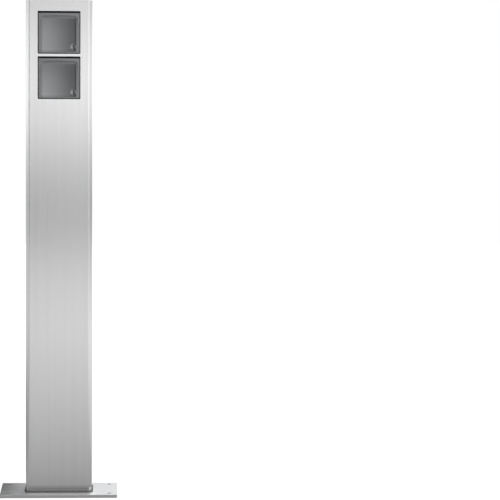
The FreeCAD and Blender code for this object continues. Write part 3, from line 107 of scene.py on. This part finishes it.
def new_material(name):
    """An empty material and its node tree with only the output."""
    material = bpy.data.materials.new(name)
    material.use_nodes = True
    tree = material.node_tree
    tree.nodes.clear()
    output = tree.nodes.new("ShaderNodeOutputMaterial")
    return material, tree, output


# %% [markdown]
# ## Room
#
# Brushed steel has hardly any colour of its own: it shows a blurred picture of the room.
# So the room is drawn for it. The camera sees plain white, but a reflection sees a floor
# with painted shade, which darkens towards the post and to its left, where the post's
# shadow falls. It also sees a dim strip above the floor's far end, and white walls at eye
# level. A soft box fills the right side and a dark screen stands at the left, as in a
# product studio. The upright brushing blurs them together, and the satin lids show them.

# %% Helpers for the room
def by_ray(tree, camera_tone, mirrored_tone, plain_tone):
    """A strength for each kind of ray: the camera's, a reflection's and all other light."""
    rays = add_node(tree, "LightPath")
    tone = plain_tone
    for kind, own_tone in (
        ("Is Glossy Ray", mirrored_tone),
        ("Is Camera Ray", camera_tone),
        ("Is Transmission Ray", camera_tone),
    ):
        tone = add_node(tree, "Mix", {"Factor": rays.outputs[kind], "A": tone, "B": own_tone}).outputs[0]
    return tone


def tone_run(tree, driver, stops):
    """Grey tones that change smoothly with a value; stops are (value, tone)."""
    low, high = stops[0][0], stops[-1][0]
    along = add_node(tree, "MapRange", {"Value": driver, "From Min": low, "From Max": high})
    ramp = add_node(tree, "ValToRGB", {"Fac": along.outputs[0]})
    while len(ramp.color_ramp.elements) < len(stops):
        ramp.color_ramp.elements.new(1)
    for element, (place, tone) in zip(ramp.color_ramp.elements, stops):
        element.position = (place - low) / (high - low)
        element.color = (tone, tone, tone, 1)
    return ramp.outputs["Color"]


# %% Floor
# Tones in a reflection by metres from the post, and by metres to its right. They are
# painted shade: darker towards the post, and to its left, where the post's shadow falls.
FLOOR_HALF = 6
FLOOR_PAINTED_SHADE = [
    (0, 0.12), (0.3, 0.255), (0.7, 0.365), (1.4, 0.54), (2.6, 0.77), (3.6, 0.8), (FLOOR_HALF, 0.71),
]
FLOOR_PAINTED_SHADOW = [
    (-FLOOR_HALF, 0.8), (-1.5, 0.7), (-0.6, 0.5), (-0.15, 0.95), (0.1, 1),
    (0.3, 0.82), (0.7, 1.15), (1.3, 1), (FLOOR_HALF, 0.8),
]
# Tones that the camera sees, by metres from the post. The paint's own grey adds the
# rest near the post, so a shadow shows there on an otherwise white floor.
FLOOR_WHITES = [(0, 0.85), (1, 0.88), (3, 1)]
FLOOR_PAINT = (0.25, 0.25, 0.25, 1)
FLOOR_LIGHT = 0.35
bpy.ops.object.select_all(action="DESELECT")
bpy.ops.mesh.primitive_plane_add(size=2 * FLOOR_HALF, location=(0, 0, 0))
floor = bpy.context.object
floor.name = "floor"
floor_paint, tree, output = new_material("White floor paint")
place = add_node(tree, "TexCoord")
reach = add_node(tree, "VectorMath", {0: place.outputs["Object"]}, operation="LENGTH")
across = add_node(tree, "SeparateXYZ", {0: place.outputs["Object"]})
# The floor's reflected tones: painted shade near the post and a painted shadow at its left.
by_distance = tone_run(tree, reach.outputs["Value"], FLOOR_PAINTED_SHADE)
by_side = tone_run(tree, across.outputs["X"], FLOOR_PAINTED_SHADOW)
mirrored = add_node(tree, "Math", {0: by_distance, 1: by_side}, operation="MULTIPLY").outputs[0]
seen = tone_run(tree, reach.outputs["Value"], FLOOR_WHITES)
glow = add_node(tree, "Emission", {"Strength": by_ray(tree, seen, mirrored, FLOOR_LIGHT)})
paint = add_node(tree, "BsdfDiffuse", {"Color": FLOOR_PAINT})
both = add_node(tree, "AddShader", {0: glow.outputs[0], 1: paint.outputs[0]})
tree.links.new(both.outputs[0], output.inputs["Surface"])
floor.data.materials.append(floor_paint)
print(f"floor: {2 * FLOOR_HALF} m square")

# %% World
# Tones in a reflection by the height and by the side of its direction.
WALL_TONES = [
    (-0.3, 0.6), (-0.066, 0.71), (-0.05, 0.515), (-0.03, 0.93), (-0.01, 1.53),
    (0.015, 1.38), (0.03, 0.84), (0.08, 1.35), (0.3, 1.2), (1, 0.9),
]
SIDE_TONES = [
    (-1, 0.9), (-0.42, 0.8), (-0.3, 0.16), (-0.085, 0.16), (-0.02, 0.9),
    (0.05, 1.5), (0.13, 1.4), (0.3, 0.9), (1, 0.75),
]
WORLD_LIGHT = 0.5
world = bpy.data.worlds.new("White room")
bpy.context.scene.world = world
world.use_nodes = True
tree = world.node_tree
tree.nodes.clear()
place = add_node(tree, "TexCoord")
heading = add_node(tree, "SeparateXYZ", {0: place.outputs["Generated"]})
by_height = tone_run(tree, heading.outputs["Z"], WALL_TONES)
by_side = tone_run(tree, heading.outputs["X"], SIDE_TONES)
mirrored = add_node(tree, "Math", {0: by_height, 1: by_side}, operation="MULTIPLY").outputs[0]
background = add_node(
    tree, "Background", {"Color": (1, 1, 1, 1), "Strength": by_ray(tree, 1.0, mirrored, WORLD_LIGHT)}
)
output = tree.nodes.new("ShaderNodeOutputWorld")
tree.links.new(background.outputs[0], output.inputs["Surface"])
print(f"world: {len(WALL_TONES)} tones by height, {len(SIDE_TONES)} by side")

# %% [markdown]
# ## Lamp
#
# One square soft lamp lights the post from high on the right and leaves a faint shadow
# to the left. The rest of the light comes evenly from the room.

# %% Lamp
# Places and sides in metres.
LAMP_PLACE, LAMP_TARGET = Vector((2.4, -0.95, 2.1)), Vector((0, 0, 0.4))
LAMP_SIDE, LAMP_WATTS = 1.0, 60
lamp_data = bpy.data.lights.new("key_lamp", "AREA")
lamp_data.size, lamp_data.energy = LAMP_SIDE, LAMP_WATTS
lamp = bpy.data.objects.new("key_lamp", lamp_data)
lamp.location = LAMP_PLACE
lamp.rotation_euler = (LAMP_TARGET - LAMP_PLACE).to_track_quat("-Z", "Y").to_euler()
lamp.visible_camera = False
bpy.context.scene.collection.objects.link(lamp)
print(f"key_lamp: {(LAMP_TARGET - LAMP_PLACE).length:.2f} m away, {LAMP_WATTS} W")

# %% [markdown]
# ## Grey card of painted shade
#
# A small grey card stands close behind the left end of the foot plate, as a photographer
# sets one. Only reflections see it here. It is painted shade: it darkens that end of the
# plate, where the post's shadow falls. The card fades towards its rim, which keeps a hard
# edge out of the steel.

# %% Grey card
# The card is painted shade, seen only in reflections on the plate's left end.
CARD_PLACE = (-0.19, 0.1, 0.07)
CARD_WIDE, CARD_TALL = 0.36, 0.27
# How clear the card is, by the distance from its middle as a share of its sides.
CARD_FADE = [(0.3, 0), (0.5, 1)]
bpy.ops.object.select_all(action="DESELECT")
bpy.ops.mesh.primitive_plane_add(size=1, location=CARD_PLACE, rotation=(math.pi / 2, 0, 0))
card = bpy.context.object
card.name = "shade_card"
card.scale = (CARD_WIDE, CARD_TALL, 1)
card.visible_camera = card.visible_shadow = card.visible_diffuse = card.visible_transmission = False
shade_card_paint, tree, output = new_material("Grey card")
place = add_node(tree, "TexCoord")
reach = add_node(tree, "VectorMath", {0: place.outputs["Object"]}, operation="LENGTH")
rim = tone_run(tree, reach.outputs["Value"], CARD_FADE)
paint = add_node(tree, "BsdfDiffuse", {"Color": linear("#757575")})
clear = add_node(tree, "BsdfTransparent")
fade = add_node(tree, "MixShader", {0: rim, 1: paint.outputs[0], 2: clear.outputs[0]})
tree.links.new(fade.outputs[0], output.inputs["Surface"])
card.data.materials.append(shade_card_paint)
print(f"grey card: {CARD_WIDE} x {CARD_TALL} m")

# %% [markdown]
# ## Brushed stainless steel
#
# The sheet is stainless steel brushed along the post. The belt leaves fine upright
# scratches. They spread a reflection sideways and keep it sharp up and down, which an
# anisotropic metal shader does. Real scratches are some 0.05 mm apart; they are drawn
# ten times as coarse, because finer ones can't show in the render. The foot plate is
# ground and the cap is brushed across, and both spread a reflection evenly. Just above
# the weld the sheet is painted darker, as shade at the post's foot, and the plate's edge
# is painted darker than its face, as shade for the dark floor close by that it mirrors.

# %% Material: brushed steel
SCRATCH_WIDE, SCRATCH_LONG = 0.5 * MM, 60 * MM
STREAK_WIDE, STREAK_LONG = 5 * MM, 500 * MM
SCRATCH_DEEP, SCRATCH_BUMP = 0.05 * MM, 0.04
SCRATCH_ROUGH = (0.9, 1.1)
STREAK_SHARE = 0.015
# Nearly all of a noise lies between these two values.
NOISE_SPAN = {"From Min": 0.3, "From Max": 0.7}


def stretched_noise(tree, wide, long, along):
    """Noise drawn out along one axis: 0 for X, 2 for Z."""
    scale = [1 / wide] * 3
    scale[along] = 1 / long
    place = add_node(tree, "TexCoord")
    drawn = add_node(tree, "Mapping", {"Vector": place.outputs["Object"], "Scale": scale})
    return add_node(tree, "TexNoise", {"Vector": drawn.outputs[0], "Scale": 1, "Detail": 2}).outputs["Fac"]


def varied_colour(tree, colour, driver, share):
    """A colour made lighter and darker by a share, as noise says."""
    span = {"To Min": 1 - share, "To Max": 1 + share, **NOISE_SPAN}
    tone = add_node(tree, "MapRange", {"Value": driver, **span})
    return add_node(
        tree, "Mix", {0: 1.0, 6: linear(colour), 7: tone.outputs[0]},
        data_type="RGBA", blend_type="MULTIPLY",
    ).outputs[2]


def brushed_steel(name, colour, along, roughness, spread, painted_shade=((0, 1), (1, 1))):
    """Stainless steel with straight scratches along one axis; painted_shade is its painted shade, as tones by
    height.
    """
    material, tree, output = new_material(name)
    scratches = stretched_noise(tree, SCRATCH_WIDE, SCRATCH_LONG, along)
    streaks = stretched_noise(tree, STREAK_WIDE, STREAK_LONG, along)
    span = {"To Min": SCRATCH_ROUGH[0] * roughness, "To Max": SCRATCH_ROUGH[1] * roughness, **NOISE_SPAN}
    rough = add_node(tree, "MapRange", {"Value": scratches, **span})
    bump = add_node(tree, "Bump", {"Height": scratches, "Strength": SCRATCH_BUMP, "Distance": SCRATCH_DEEP})
    place = add_node(tree, "TexCoord")
    height = add_node(tree, "SeparateXYZ", {0: place.outputs["Object"]})
    streaked = varied_colour(tree, colour, streaks, STREAK_SHARE)
    # The colour is multiplied by the painted shade by height.
    shaded_colour = add_node(
        tree, "Mix", {0: 1.0, 6: streaked, 7: tone_run(tree, height.outputs["Z"], painted_shade)},
        data_type="RGBA", blend_type="MULTIPLY",
    )
    shader = add_node(
        tree, "BsdfPrincipled",
        {
            "Base Color": shaded_colour.outputs[2], "Metallic": 1.0,
            "Roughness": rough.outputs[0], "Anisotropic": spread, "Normal": bump.outputs[0],
        },
    )
    tree.links.new(shader.outputs[0], output.inputs["Surface"])
    return material


def finish_nodes(material, *names):
    """Gives CAD nodes a material."""
    for name in names:
        mesh = nodes[name].data
        mesh.materials.clear()
        mesh.materials.append(material)
    print(f"{material.name}: {', '.join(names)}")


# Painted shade by height: the post darkens just above the weld, where its foot is in shade, and the plate's
# edge is darker than its face, for the dark floor close by that it mirrors.
FOOT_SHADE = ((5 * MM, 0.42), (9 * MM, 0.4), (12 * MM, 0.72), (17 * MM, 1))
PLATE_EDGE_SHADE = ((0, 0.72), (4.9 * MM, 0.72), (5 * MM, 1))
post_steel = brushed_steel("Stainless steel, brushed upright", "#E2E2E3", 2, 0.18, 1.0, FOOT_SHADE)
plate_steel = brushed_steel("Stainless steel, ground plate", "#D6D7D8", 0, 0.43, 0.0, PLATE_EDGE_SHADE)
cap_steel = brushed_steel("Stainless steel, brushed across", "#E2E2E3", 0, 0.32, 0.0)
finish_nodes(post_steel, "post_tube", "service_cover")
finish_nodes(plate_steel, "base_plate")
finish_nodes(cap_steel, "top_cap")

# %% [markdown]
# ## Moulded plastics and rubber
#
# The lids, frames and socket parts are moulded. A mould is eroded to a fine grain, so
# the surface has tiny dimples and a satin sheen rather than a mirror. The lids are ABS
# under an anthracite lacquer with metal flakes, which mirrors the room softly as metal
# does. The socket parts are a harder thermoset or polyamide, the seals EPDM rubber.

# %% Material: moulded plastic or rubber
CLOUD_WIDE, CLOUD_ROUGH = 30 * MM, (0.94, 1.06)
GRAIN_BUMP, GRAIN_SHARE = 0.2, 0.05


def moulded(name, colour, roughness, grain, depth, metallic=0.0):
    """A moulded surface; grain is the size of its dimples and depth how deep they are."""
    material, tree, output = new_material(name)
    place = add_node(tree, "TexCoord")
    where = {"Vector": place.outputs["Object"]}
    dimples = add_node(tree, "TexNoise", {**where, "Scale": 1 / grain, "Detail": 3})
    cloud = add_node(tree, "TexNoise", {**where, "Scale": 1 / CLOUD_WIDE, "Detail": 1})
    span = {"To Min": CLOUD_ROUGH[0] * roughness, "To Max": CLOUD_ROUGH[1] * roughness, **NOISE_SPAN}
    rough = add_node(tree, "MapRange", {"Value": cloud.outputs["Fac"], **span})
    raised = {"Height": dimples.outputs["Fac"], "Strength": GRAIN_BUMP, "Distance": depth}
    bump = add_node(tree, "Bump", raised)
    mottled = varied_colour(tree, colour, dimples.outputs["Fac"], GRAIN_SHARE)
    shader = add_node(
        tree, "BsdfPrincipled",
        {
            "Base Color": mottled, "Metallic": metallic,
            "Roughness": rough.outputs[0], "Normal": bump.outputs[0],
        },
    )
    tree.links.new(shader.outputs[0], output.inputs["Surface"])
    return material


FINE_GRAIN, GRAIN_DEEP = 0.4 * MM, 0.01 * MM
RUBBER_GRAIN, RUBBER_DEEP = 0.8 * MM, 0.03 * MM
lid_plastic = moulded(
    "ABS, anthracite metal-effect lacquer", "#7E7F81", 0.18, FINE_GRAIN, GRAIN_DEEP, metallic=1.0
)
socket_plastic = moulded("Polyamide, anthracite", "#37383A", 0.45, FINE_GRAIN, GRAIN_DEEP)
base_plastic = moulded("Thermoset, pale beige", "#E3DFD3", 0.4, FINE_GRAIN, GRAIN_DEEP)
shutter_plastic = moulded("Polyamide, black", "#1B1B1C", 0.5, FINE_GRAIN, GRAIN_DEEP)
block_plastic = moulded("Polyamide, pale grey", "#C9C9C5", 0.45, FINE_GRAIN, GRAIN_DEEP)
rubber = moulded("EPDM rubber, black", "#29292A", 0.75, RUBBER_GRAIN, RUBBER_DEEP)
finish_nodes(block_plastic, "terminal_block")
finish_nodes(rubber, "front_gasket", "service_gasket", "cable_grommet")
for name in ("upper", "lower"):
    finish_nodes(lid_plastic, name + "_lid")
    finish_nodes(socket_plastic, name + "_socket_well")
    finish_nodes(base_plastic, name + "_contact_base")
    finish_nodes(shutter_plastic, name + "_shutter")
    finish_nodes(rubber, name + "_lid_seal")
finish_nodes(socket_plastic, "device_frame")

# %% [markdown]
# ## Turned and plated metal
#
# Screws, nuts and contacts are small metal parts. Zinc plate is a little cloudy, and drawn
# brass and nickel are smoother. The hinge pins and springs are dull and painted near black,
# as the shade in the gaps round the lids. The weld is painted dark grey, as the shade at the
# post's foot. One maker gives them all a cloud of slightly changing colour and roughness.

# %% Material: plated metal
SPOT_WIDE, SPOT_DEEP = 1.5 * MM, 0.01 * MM
SPOT_BUMP, SPOT_ROUGH = 0.1, (0.85, 1.15)


def plated(name, colour, roughness, share):
    """A plated or drawn metal; share says how cloudy its colour is."""
    material, tree, output = new_material(name)
    place = add_node(tree, "TexCoord")
    cloud = add_node(
        tree, "TexNoise", {"Vector": place.outputs["Object"], "Scale": 1 / SPOT_WIDE, "Detail": 3}
    )
    span = {"To Min": SPOT_ROUGH[0] * roughness, "To Max": SPOT_ROUGH[1] * roughness, **NOISE_SPAN}
    rough = add_node(tree, "MapRange", {"Value": cloud.outputs["Fac"], **span})
    raised = {"Height": cloud.outputs["Fac"], "Strength": SPOT_BUMP, "Distance": SPOT_DEEP}
    bump = add_node(tree, "Bump", raised)
    shader = add_node(
        tree, "BsdfPrincipled",
        {
            "Base Color": varied_colour(tree, colour, cloud.outputs["Fac"], share), "Metallic": 1.0,
            "Roughness": rough.outputs[0], "Normal": bump.outputs[0],
        },
    )
    tree.links.new(shader.outputs[0], output.inputs["Surface"])
    return material


bright_steel = plated("Stainless steel, turned", "#CFCECB", 0.25, 0.02)
# The hinge pins and springs are painted near black, as the shade in the gaps round the lids.
shaded_spring_steel = plated("Spring steel, painted shade", "#2A2A2B", 0.45, 0.15)
zinc = plated("Steel, bright zinc plate", "#B9BDC1", 0.38, 0.08)
brass = plated("Brass, drawn", "#D9B968", 0.3, 0.05)
nickel = plated("Bronze, nickel plate", "#C6C0B2", 0.3, 0.04)
# The weld's dark grey is painted shade, for the dark line at the post's foot.
shaded_weld_metal = plated("Stainless weld, painted shade", "#6C6A68", 0.6, 0.12)
finish_nodes(
    zinc, "frame_studs", "frame_washers", "frame_nuts", "block_studs", "block_nuts", "rivet_nuts",
    "earth_stud", "earth_nut", "earth_washers",
)
finish_nodes(nickel, "earth_lug")
for name in ("upper", "lower"):
    finish_nodes(zinc, name + "_support_ring")
    finish_nodes(shaded_spring_steel, name + "_hinge_pin", name + "_lid_spring")
    finish_nodes(brass, name + "_contacts")
    finish_nodes(nickel, name + "_earth_clip")

# %% [markdown]
# ## Wire insulation
#
# Each single wire has a smooth PVC sleeve: brown for live, blue for neutral, and green
# with yellow stripes for earth. The two earth colours meet along the wire, each on about
# half of its side, so a sharp step across one axis draws them.

# %% Materials: wires
SLEEVE_ROUGHNESS = 0.4


def two_tone(name, first, second, axis, middle):
    """PVC in two colours that meet where a place along one axis passes the middle."""
    material, tree, output = new_material(name)
    place = add_node(tree, "TexCoord")
    parts = add_node(tree, "SeparateXYZ", {0: place.outputs["Object"]})
    side = add_node(tree, "Math", {0: parts.outputs[axis], 1: middle}, operation="GREATER_THAN")
    colour = add_node(
        tree, "Mix", {0: side.outputs[0], 6: linear(first), 7: linear(second)}, data_type="RGBA"
    )
    shader = add_node(
        tree, "BsdfPrincipled", {"Base Color": colour.outputs[2], "Roughness": SLEEVE_ROUGHNESS}
    )
    tree.links.new(shader.outputs[0], output.inputs["Surface"])
    return material


SLEEVE_GRAIN, SLEEVE_DEEP = 0.3 * MM, 0.005 * MM
EARTH_GREEN, EARTH_YELLOW = "#2F8F3A", "#E8D22A"
# The bond wire's colours meet at the height of the earth stud's middle. That is the
# stud's radius, 3 mm, above its lowest point.
bond_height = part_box("earth_stud")[0].z + 3 * MM
brown_sleeve = moulded("PVC, brown", "#5A3320", SLEEVE_ROUGHNESS, SLEEVE_GRAIN, SLEEVE_DEEP)
blue_sleeve = moulded("PVC, blue", "#1F5FAE", SLEEVE_ROUGHNESS, SLEEVE_GRAIN, SLEEVE_DEEP)
earth_sleeve = two_tone("PVC, green and yellow", EARTH_GREEN, EARTH_YELLOW, "X", 0.0)
bond_sleeve = two_tone("PVC, yellow and green", EARTH_YELLOW, EARTH_GREEN, "Z", bond_height)
finish_nodes(brown_sleeve, "live_wires")
finish_nodes(blue_sleeve, "neutral_wires")
finish_nodes(earth_sleeve, "earth_wires")
finish_nodes(bond_sleeve, "bond_wire")

# %% [markdown]
# ## Weld bead at the foot
#
# The tube is welded to its foot plate all round. A hand-laid bead is a row of small
# scales, one for each dab of the rod. A plane with rounded corners gives the toe of the
# bead, insets climb from it to the tube's wall, and the two rings between are then
# swollen at every scale.

# %% Helpers for modelling
# Places that differ by less than this count as level.
TINY = 0.01 * MM
# A face whose normal leans up or down by more than this is a flat top or bottom.
FLAT = 0.9


def start_piece(add_primitive, name, **how):
    """Adds a primitive by itself and opens it for editing with nothing selected."""
    bpy.ops.object.select_all(action="DESELECT")
    add_primitive(**how)
    piece = bpy.context.object
    piece.name = name
    bpy.ops.object.mode_set(mode="EDIT")
    bpy.ops.mesh.select_all(action="DESELECT")
    return piece


def pick(piece, kind, test):
    """Selects only the vertices, edges or faces that pass a test."""
    bpy.ops.mesh.select_mode(type=kind)
    bpy.ops.mesh.select_all(action="DESELECT")
    bpy.ops.object.mode_set(mode="OBJECT")
    mesh = piece.data
    parts = {"VERT": mesh.vertices, "EDGE": mesh.edges, "FACE": mesh.polygons}[kind]
    for part in parts:
        part.select = bool(test(part))
    bpy.ops.object.mode_set(mode="EDIT")


def close_piece(piece, material, smooth_angle):
    """Leaves edit mode with the faces outwards, and puts the object's place into its mesh."""
    bpy.ops.mesh.select_all(action="SELECT")
    bpy.ops.mesh.normals_make_consistent(inside=False)
    bpy.ops.object.mode_set(mode="OBJECT")
    bpy.ops.object.transform_apply(location=True, rotation=True, scale=True)
    bpy.ops.object.shade_smooth_by_angle(angle=math.radians(smooth_angle))
    piece.data.materials.append(material)


# %% Weld bead
WELD_CORNER = 8.5 * MM
SIDE_STEPS, END_STEPS, CORNER_STEPS = 99, 57, 15
STEPS_IN_SCALE = 3
BEAD_SECTION = [(0.45 * MM, 1.0 * MM), (0.85 * MM, 0.9 * MM), (1.2 * MM, 0.6 * MM)]
SCALE_PROUD = 0.22 * MM
LONG_EDGE = 5 * MM
BARE_TOE, BARE_TOP = 0.5 * MM, 0.1 * MM
weld_low, weld_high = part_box("foot_weld")
half_wide, half_deep = weld_high.x - WELD_CORNER, weld_high.y - WELD_CORNER

bead = start_piece(bpy.ops.mesh.primitive_plane_add, "weld_bead", size=1, location=(0, 0, weld_low.z))
bpy.ops.mesh.select_all(action="SELECT")
bpy.ops.transform.resize(value=(2 * weld_high.x, 2 * weld_high.y, 1))
bpy.ops.mesh.bevel(offset=WELD_CORNER, segments=CORNER_STEPS, affect="VERTICES")
for inwards, upwards in BEAD_SECTION:
    bpy.ops.mesh.inset(thickness=inwards, depth=upwards, use_even_offset=True)
bead_tall = weld_high.z - weld_low.z
bpy.ops.mesh.extrude_region_move(TRANSFORM_OT_translate={"value": (0, 0, -bead_tall)})
bpy.ops.mesh.delete(type="ONLY_FACE")
pick(bead, "EDGE", lambda edge: all(abs(bead.data.vertices[i].co.z) < TINY for i in edge.vertices))
bpy.ops.mesh.bridge_edge_loops()


def edge_runs(axis):
    """A test for the long edges that run along an axis."""

    def test(edge):
        ends = [bead.data.vertices[i].co for i in edge.vertices]
        return abs(ends[0][axis] - ends[1][axis]) > LONG_EDGE

    return test


for axis, steps in ((0, SIDE_STEPS), (1, END_STEPS)):
    pick(bead, "EDGE", edge_runs(axis))
    bpy.ops.mesh.subdivide(number_cuts=steps - 1)
bpy.ops.mesh.select_all(action="SELECT")
bpy.ops.mesh.normals_make_consistent(inside=False)


def on_scale(vertex):
    """Whether a vertex of the two middle rings lies on a scale, not between two scales."""
    x, y, z = vertex.co
    if abs(x) <= half_wide:
        step = (x + half_wide) * SIDE_STEPS / (2 * half_wide)
    elif abs(y) <= half_deep:
        step = (y + half_deep) * END_STEPS / (2 * half_deep)
    else:
        step = math.atan2(abs(y) - half_deep, abs(x) - half_wide) * CORNER_STEPS * 2 / math.pi
    return BARE_TOE < z < bead_tall - BARE_TOP and round(step) % STEPS_IN_SCALE


pick(bead, "VERT", on_scale)
bpy.ops.transform.shrink_fatten(value=SCALE_PROUD)
close_piece(bead, shaded_weld_metal, smooth_angle=60)
rounding = bead.modifiers.new("rounding", "SUBSURF")
rounding.levels = rounding.render_levels = 1
bpy.ops.object.modifier_apply(modifier=rounding.name)
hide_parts("foot_weld")
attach(bead, "post")
bead_top = max(v.co.z for v in bead.data.vertices)
bead_side = max(v.co.x for v in bead.data.vertices)
print(f"weld bead: {len(bead.data.polygons)} faces, top {bead_top / MM:.2f} mm, side {bead_side / MM:.2f} mm")

# %% [markdown]
# ## Screws
#
# Every screw has a head with a drive: a hexagon socket in the domed heads of the service
# cover, a cross in the screws that hold the sockets, and a slot in the small terminal
# screws. One maker turns them from a cylinder: the top is drawn in to a crown, the
# bottom to a shank, and a cutter of the drive's shape is taken out of the head.

# %% Helpers: screws
ROUND_STEPS = 36
# Shares of a head's or shank's own size: a slot's width and a drive's reach and depth,
# and the bevels of head and shank.
SLOT_SHARE = 0.22
DRIVE_REACH, DRIVE_DEPTH = 1.2, 0.55
HEAD_BEVEL, SHANK_BEVEL = 0.12, 0.2


def make_cutter(drive, size, depth, top):
    """The shape of a drive: a hexagon, a slot or a cross."""
    bpy.ops.object.select_all(action="DESELECT")
    middle = (0, 0, top)
    if drive == "hexagon":
        corner = size / math.sqrt(3)
        bpy.ops.mesh.primitive_cylinder_add(vertices=6, radius=corner, depth=2 * depth, location=middle)
        return bpy.context.object
    bpy.ops.mesh.primitive_cube_add(size=1, location=middle)
    cutter = bpy.context.object
    bpy.ops.object.mode_set(mode="EDIT")
    bpy.ops.transform.resize(value=(size, SLOT_SHARE * size, 2 * depth))
    if drive == "cross":
        bpy.ops.mesh.primitive_cube_add(size=1, location=middle)
        bpy.ops.transform.resize(value=(SLOT_SHARE * size, size, 2 * depth))
    bpy.ops.object.mode_set(mode="OBJECT")
    return cutter


def make_screw(name, head, shank, drive, material):
    """A screw whose seat is the origin and whose head looks up Z."""
    head_radius, head_tall, crown_radius = head
    shank_radius, shank_long = shank
    shoulder = head_tall / 2
    screw = start_piece(
        bpy.ops.mesh.primitive_cylinder_add, name,
        vertices=ROUND_STEPS, radius=head_radius, depth=shoulder, location=(0, 0, shoulder / 2),
    )
    pick(screw, "FACE", lambda face: face.normal.z > FLAT)
    bpy.ops.mesh.extrude_region_move(TRANSFORM_OT_translate={"value": (0, 0, head_tall - shoulder)})
    bpy.ops.transform.resize(value=(crown_radius / head_radius, crown_radius / head_radius, 1))
    pick(screw, "FACE", lambda face: face.normal.z < -FLAT)
    bpy.ops.mesh.inset(thickness=head_radius - shank_radius)
    bpy.ops.mesh.extrude_region_move(TRANSFORM_OT_translate={"value": (0, 0, -shank_long)})
    bpy.ops.mesh.bevel(offset=SHANK_BEVEL * shank_radius, segments=1, affect="EDGES")
    above = shoulder / 2 - TINY
    pick(screw, "EDGE", lambda edge: all(screw.data.vertices[i].co.z > above for i in edge.vertices))
    bpy.ops.mesh.bevel(offset=HEAD_BEVEL * head_radius, segments=3, affect="EDGES")
    bpy.ops.object.mode_set(mode="OBJECT")
    cutter = make_cutter(drive, DRIVE_REACH * crown_radius, DRIVE_DEPTH * head_tall, head_tall)
    bpy.ops.object.select_all(action="DESELECT")
    bpy.context.view_layer.objects.active = screw
    screw.select_set(True)
    cut = screw.modifiers.new("drive", "BOOLEAN")
    cut.object, cut.operation, cut.solver, cut.use_self = cutter, "DIFFERENCE", "EXACT", True
    bpy.ops.object.modifier_apply(modifier=cut.name)
    bpy.data.objects.remove(cutter)
    bpy.ops.object.mode_set(mode="EDIT")
    close_piece(screw, material, smooth_angle=35)
    return screw


def even_places(low, high, inset, count):
    """Evenly spaced places between two ends, each inset by a head's radius."""
    first, last = low + inset, high - inset
    if count == 1:
        return [(first + last) / 2]
    return [first + (last - first) * i / (count - 1) for i in range(count)]


def set_screws(node, head, shank_radius, drive, material, slot, columns=1, rows=1, facing=1):
    """Screws in place of a node of screws; facing 1 looks to the back, -1 to the front."""
    low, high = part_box(node)
    shank_long = high.y - low.y - head[1]
    seat = high.y - head[1] if facing == 1 else low.y + head[1]
    pattern = make_screw(node + "_pattern", head, (shank_radius, shank_long), drive, material)
    turned = Matrix.Rotation(-facing * math.pi / 2, 4, "X")
    count = 0
    for x in even_places(low.x, high.x, head[0], columns):
        for z in even_places(low.z, high.z, head[0], rows):
            count += 1
            screw = bpy.data.objects.new(f"{node}_{count}", pattern.data.copy())
            bpy.context.scene.collection.objects.link(screw)
            screw.data.transform(Matrix.Translation((x, seat, z)) @ turned)
            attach(screw, "post")
            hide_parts(node)
    print(f"{node}: {count} screws, {len(pattern.data.polygons)} faces each")
    bpy.data.objects.remove(pattern)


# %% Screws
# Each kind: its head's radius, height and crown radius, its shank's radius, and its drive.
COVER_SCREW = ((3.8 * MM, 2.4 * MM, 2.3 * MM), 2.0 * MM, "hexagon")
RING_SCREW = ((3.0 * MM, 1.8 * MM, 2.4 * MM), 1.25 * MM, "cross")
CENTRE_SCREW = ((3.0 * MM, 1.6 * MM, 2.4 * MM), 1.4 * MM, "cross")
CLAMP_SCREW = ((2.2 * MM, 1.8 * MM, 2.0 * MM), 1.5 * MM, "slot")
set_screws("service_screws", *COVER_SCREW, bright_steel, "bright_steel", columns=2, rows=2)
set_screws("block_screws", *CLAMP_SCREW, brass, "contact_brass", columns=3, rows=2)
for name in ("upper", "lower"):
    set_screws(name + "_ring_screws", *RING_SCREW, zinc, "zinc_steel", columns=2)
    set_screws(name + "_centre_screw", *CENTRE_SCREW, bright_steel, "bright_steel", facing=-1)
    set_screws(name + "_terminal_screws", *CLAMP_SCREW, brass, "contact_brass", columns=3)
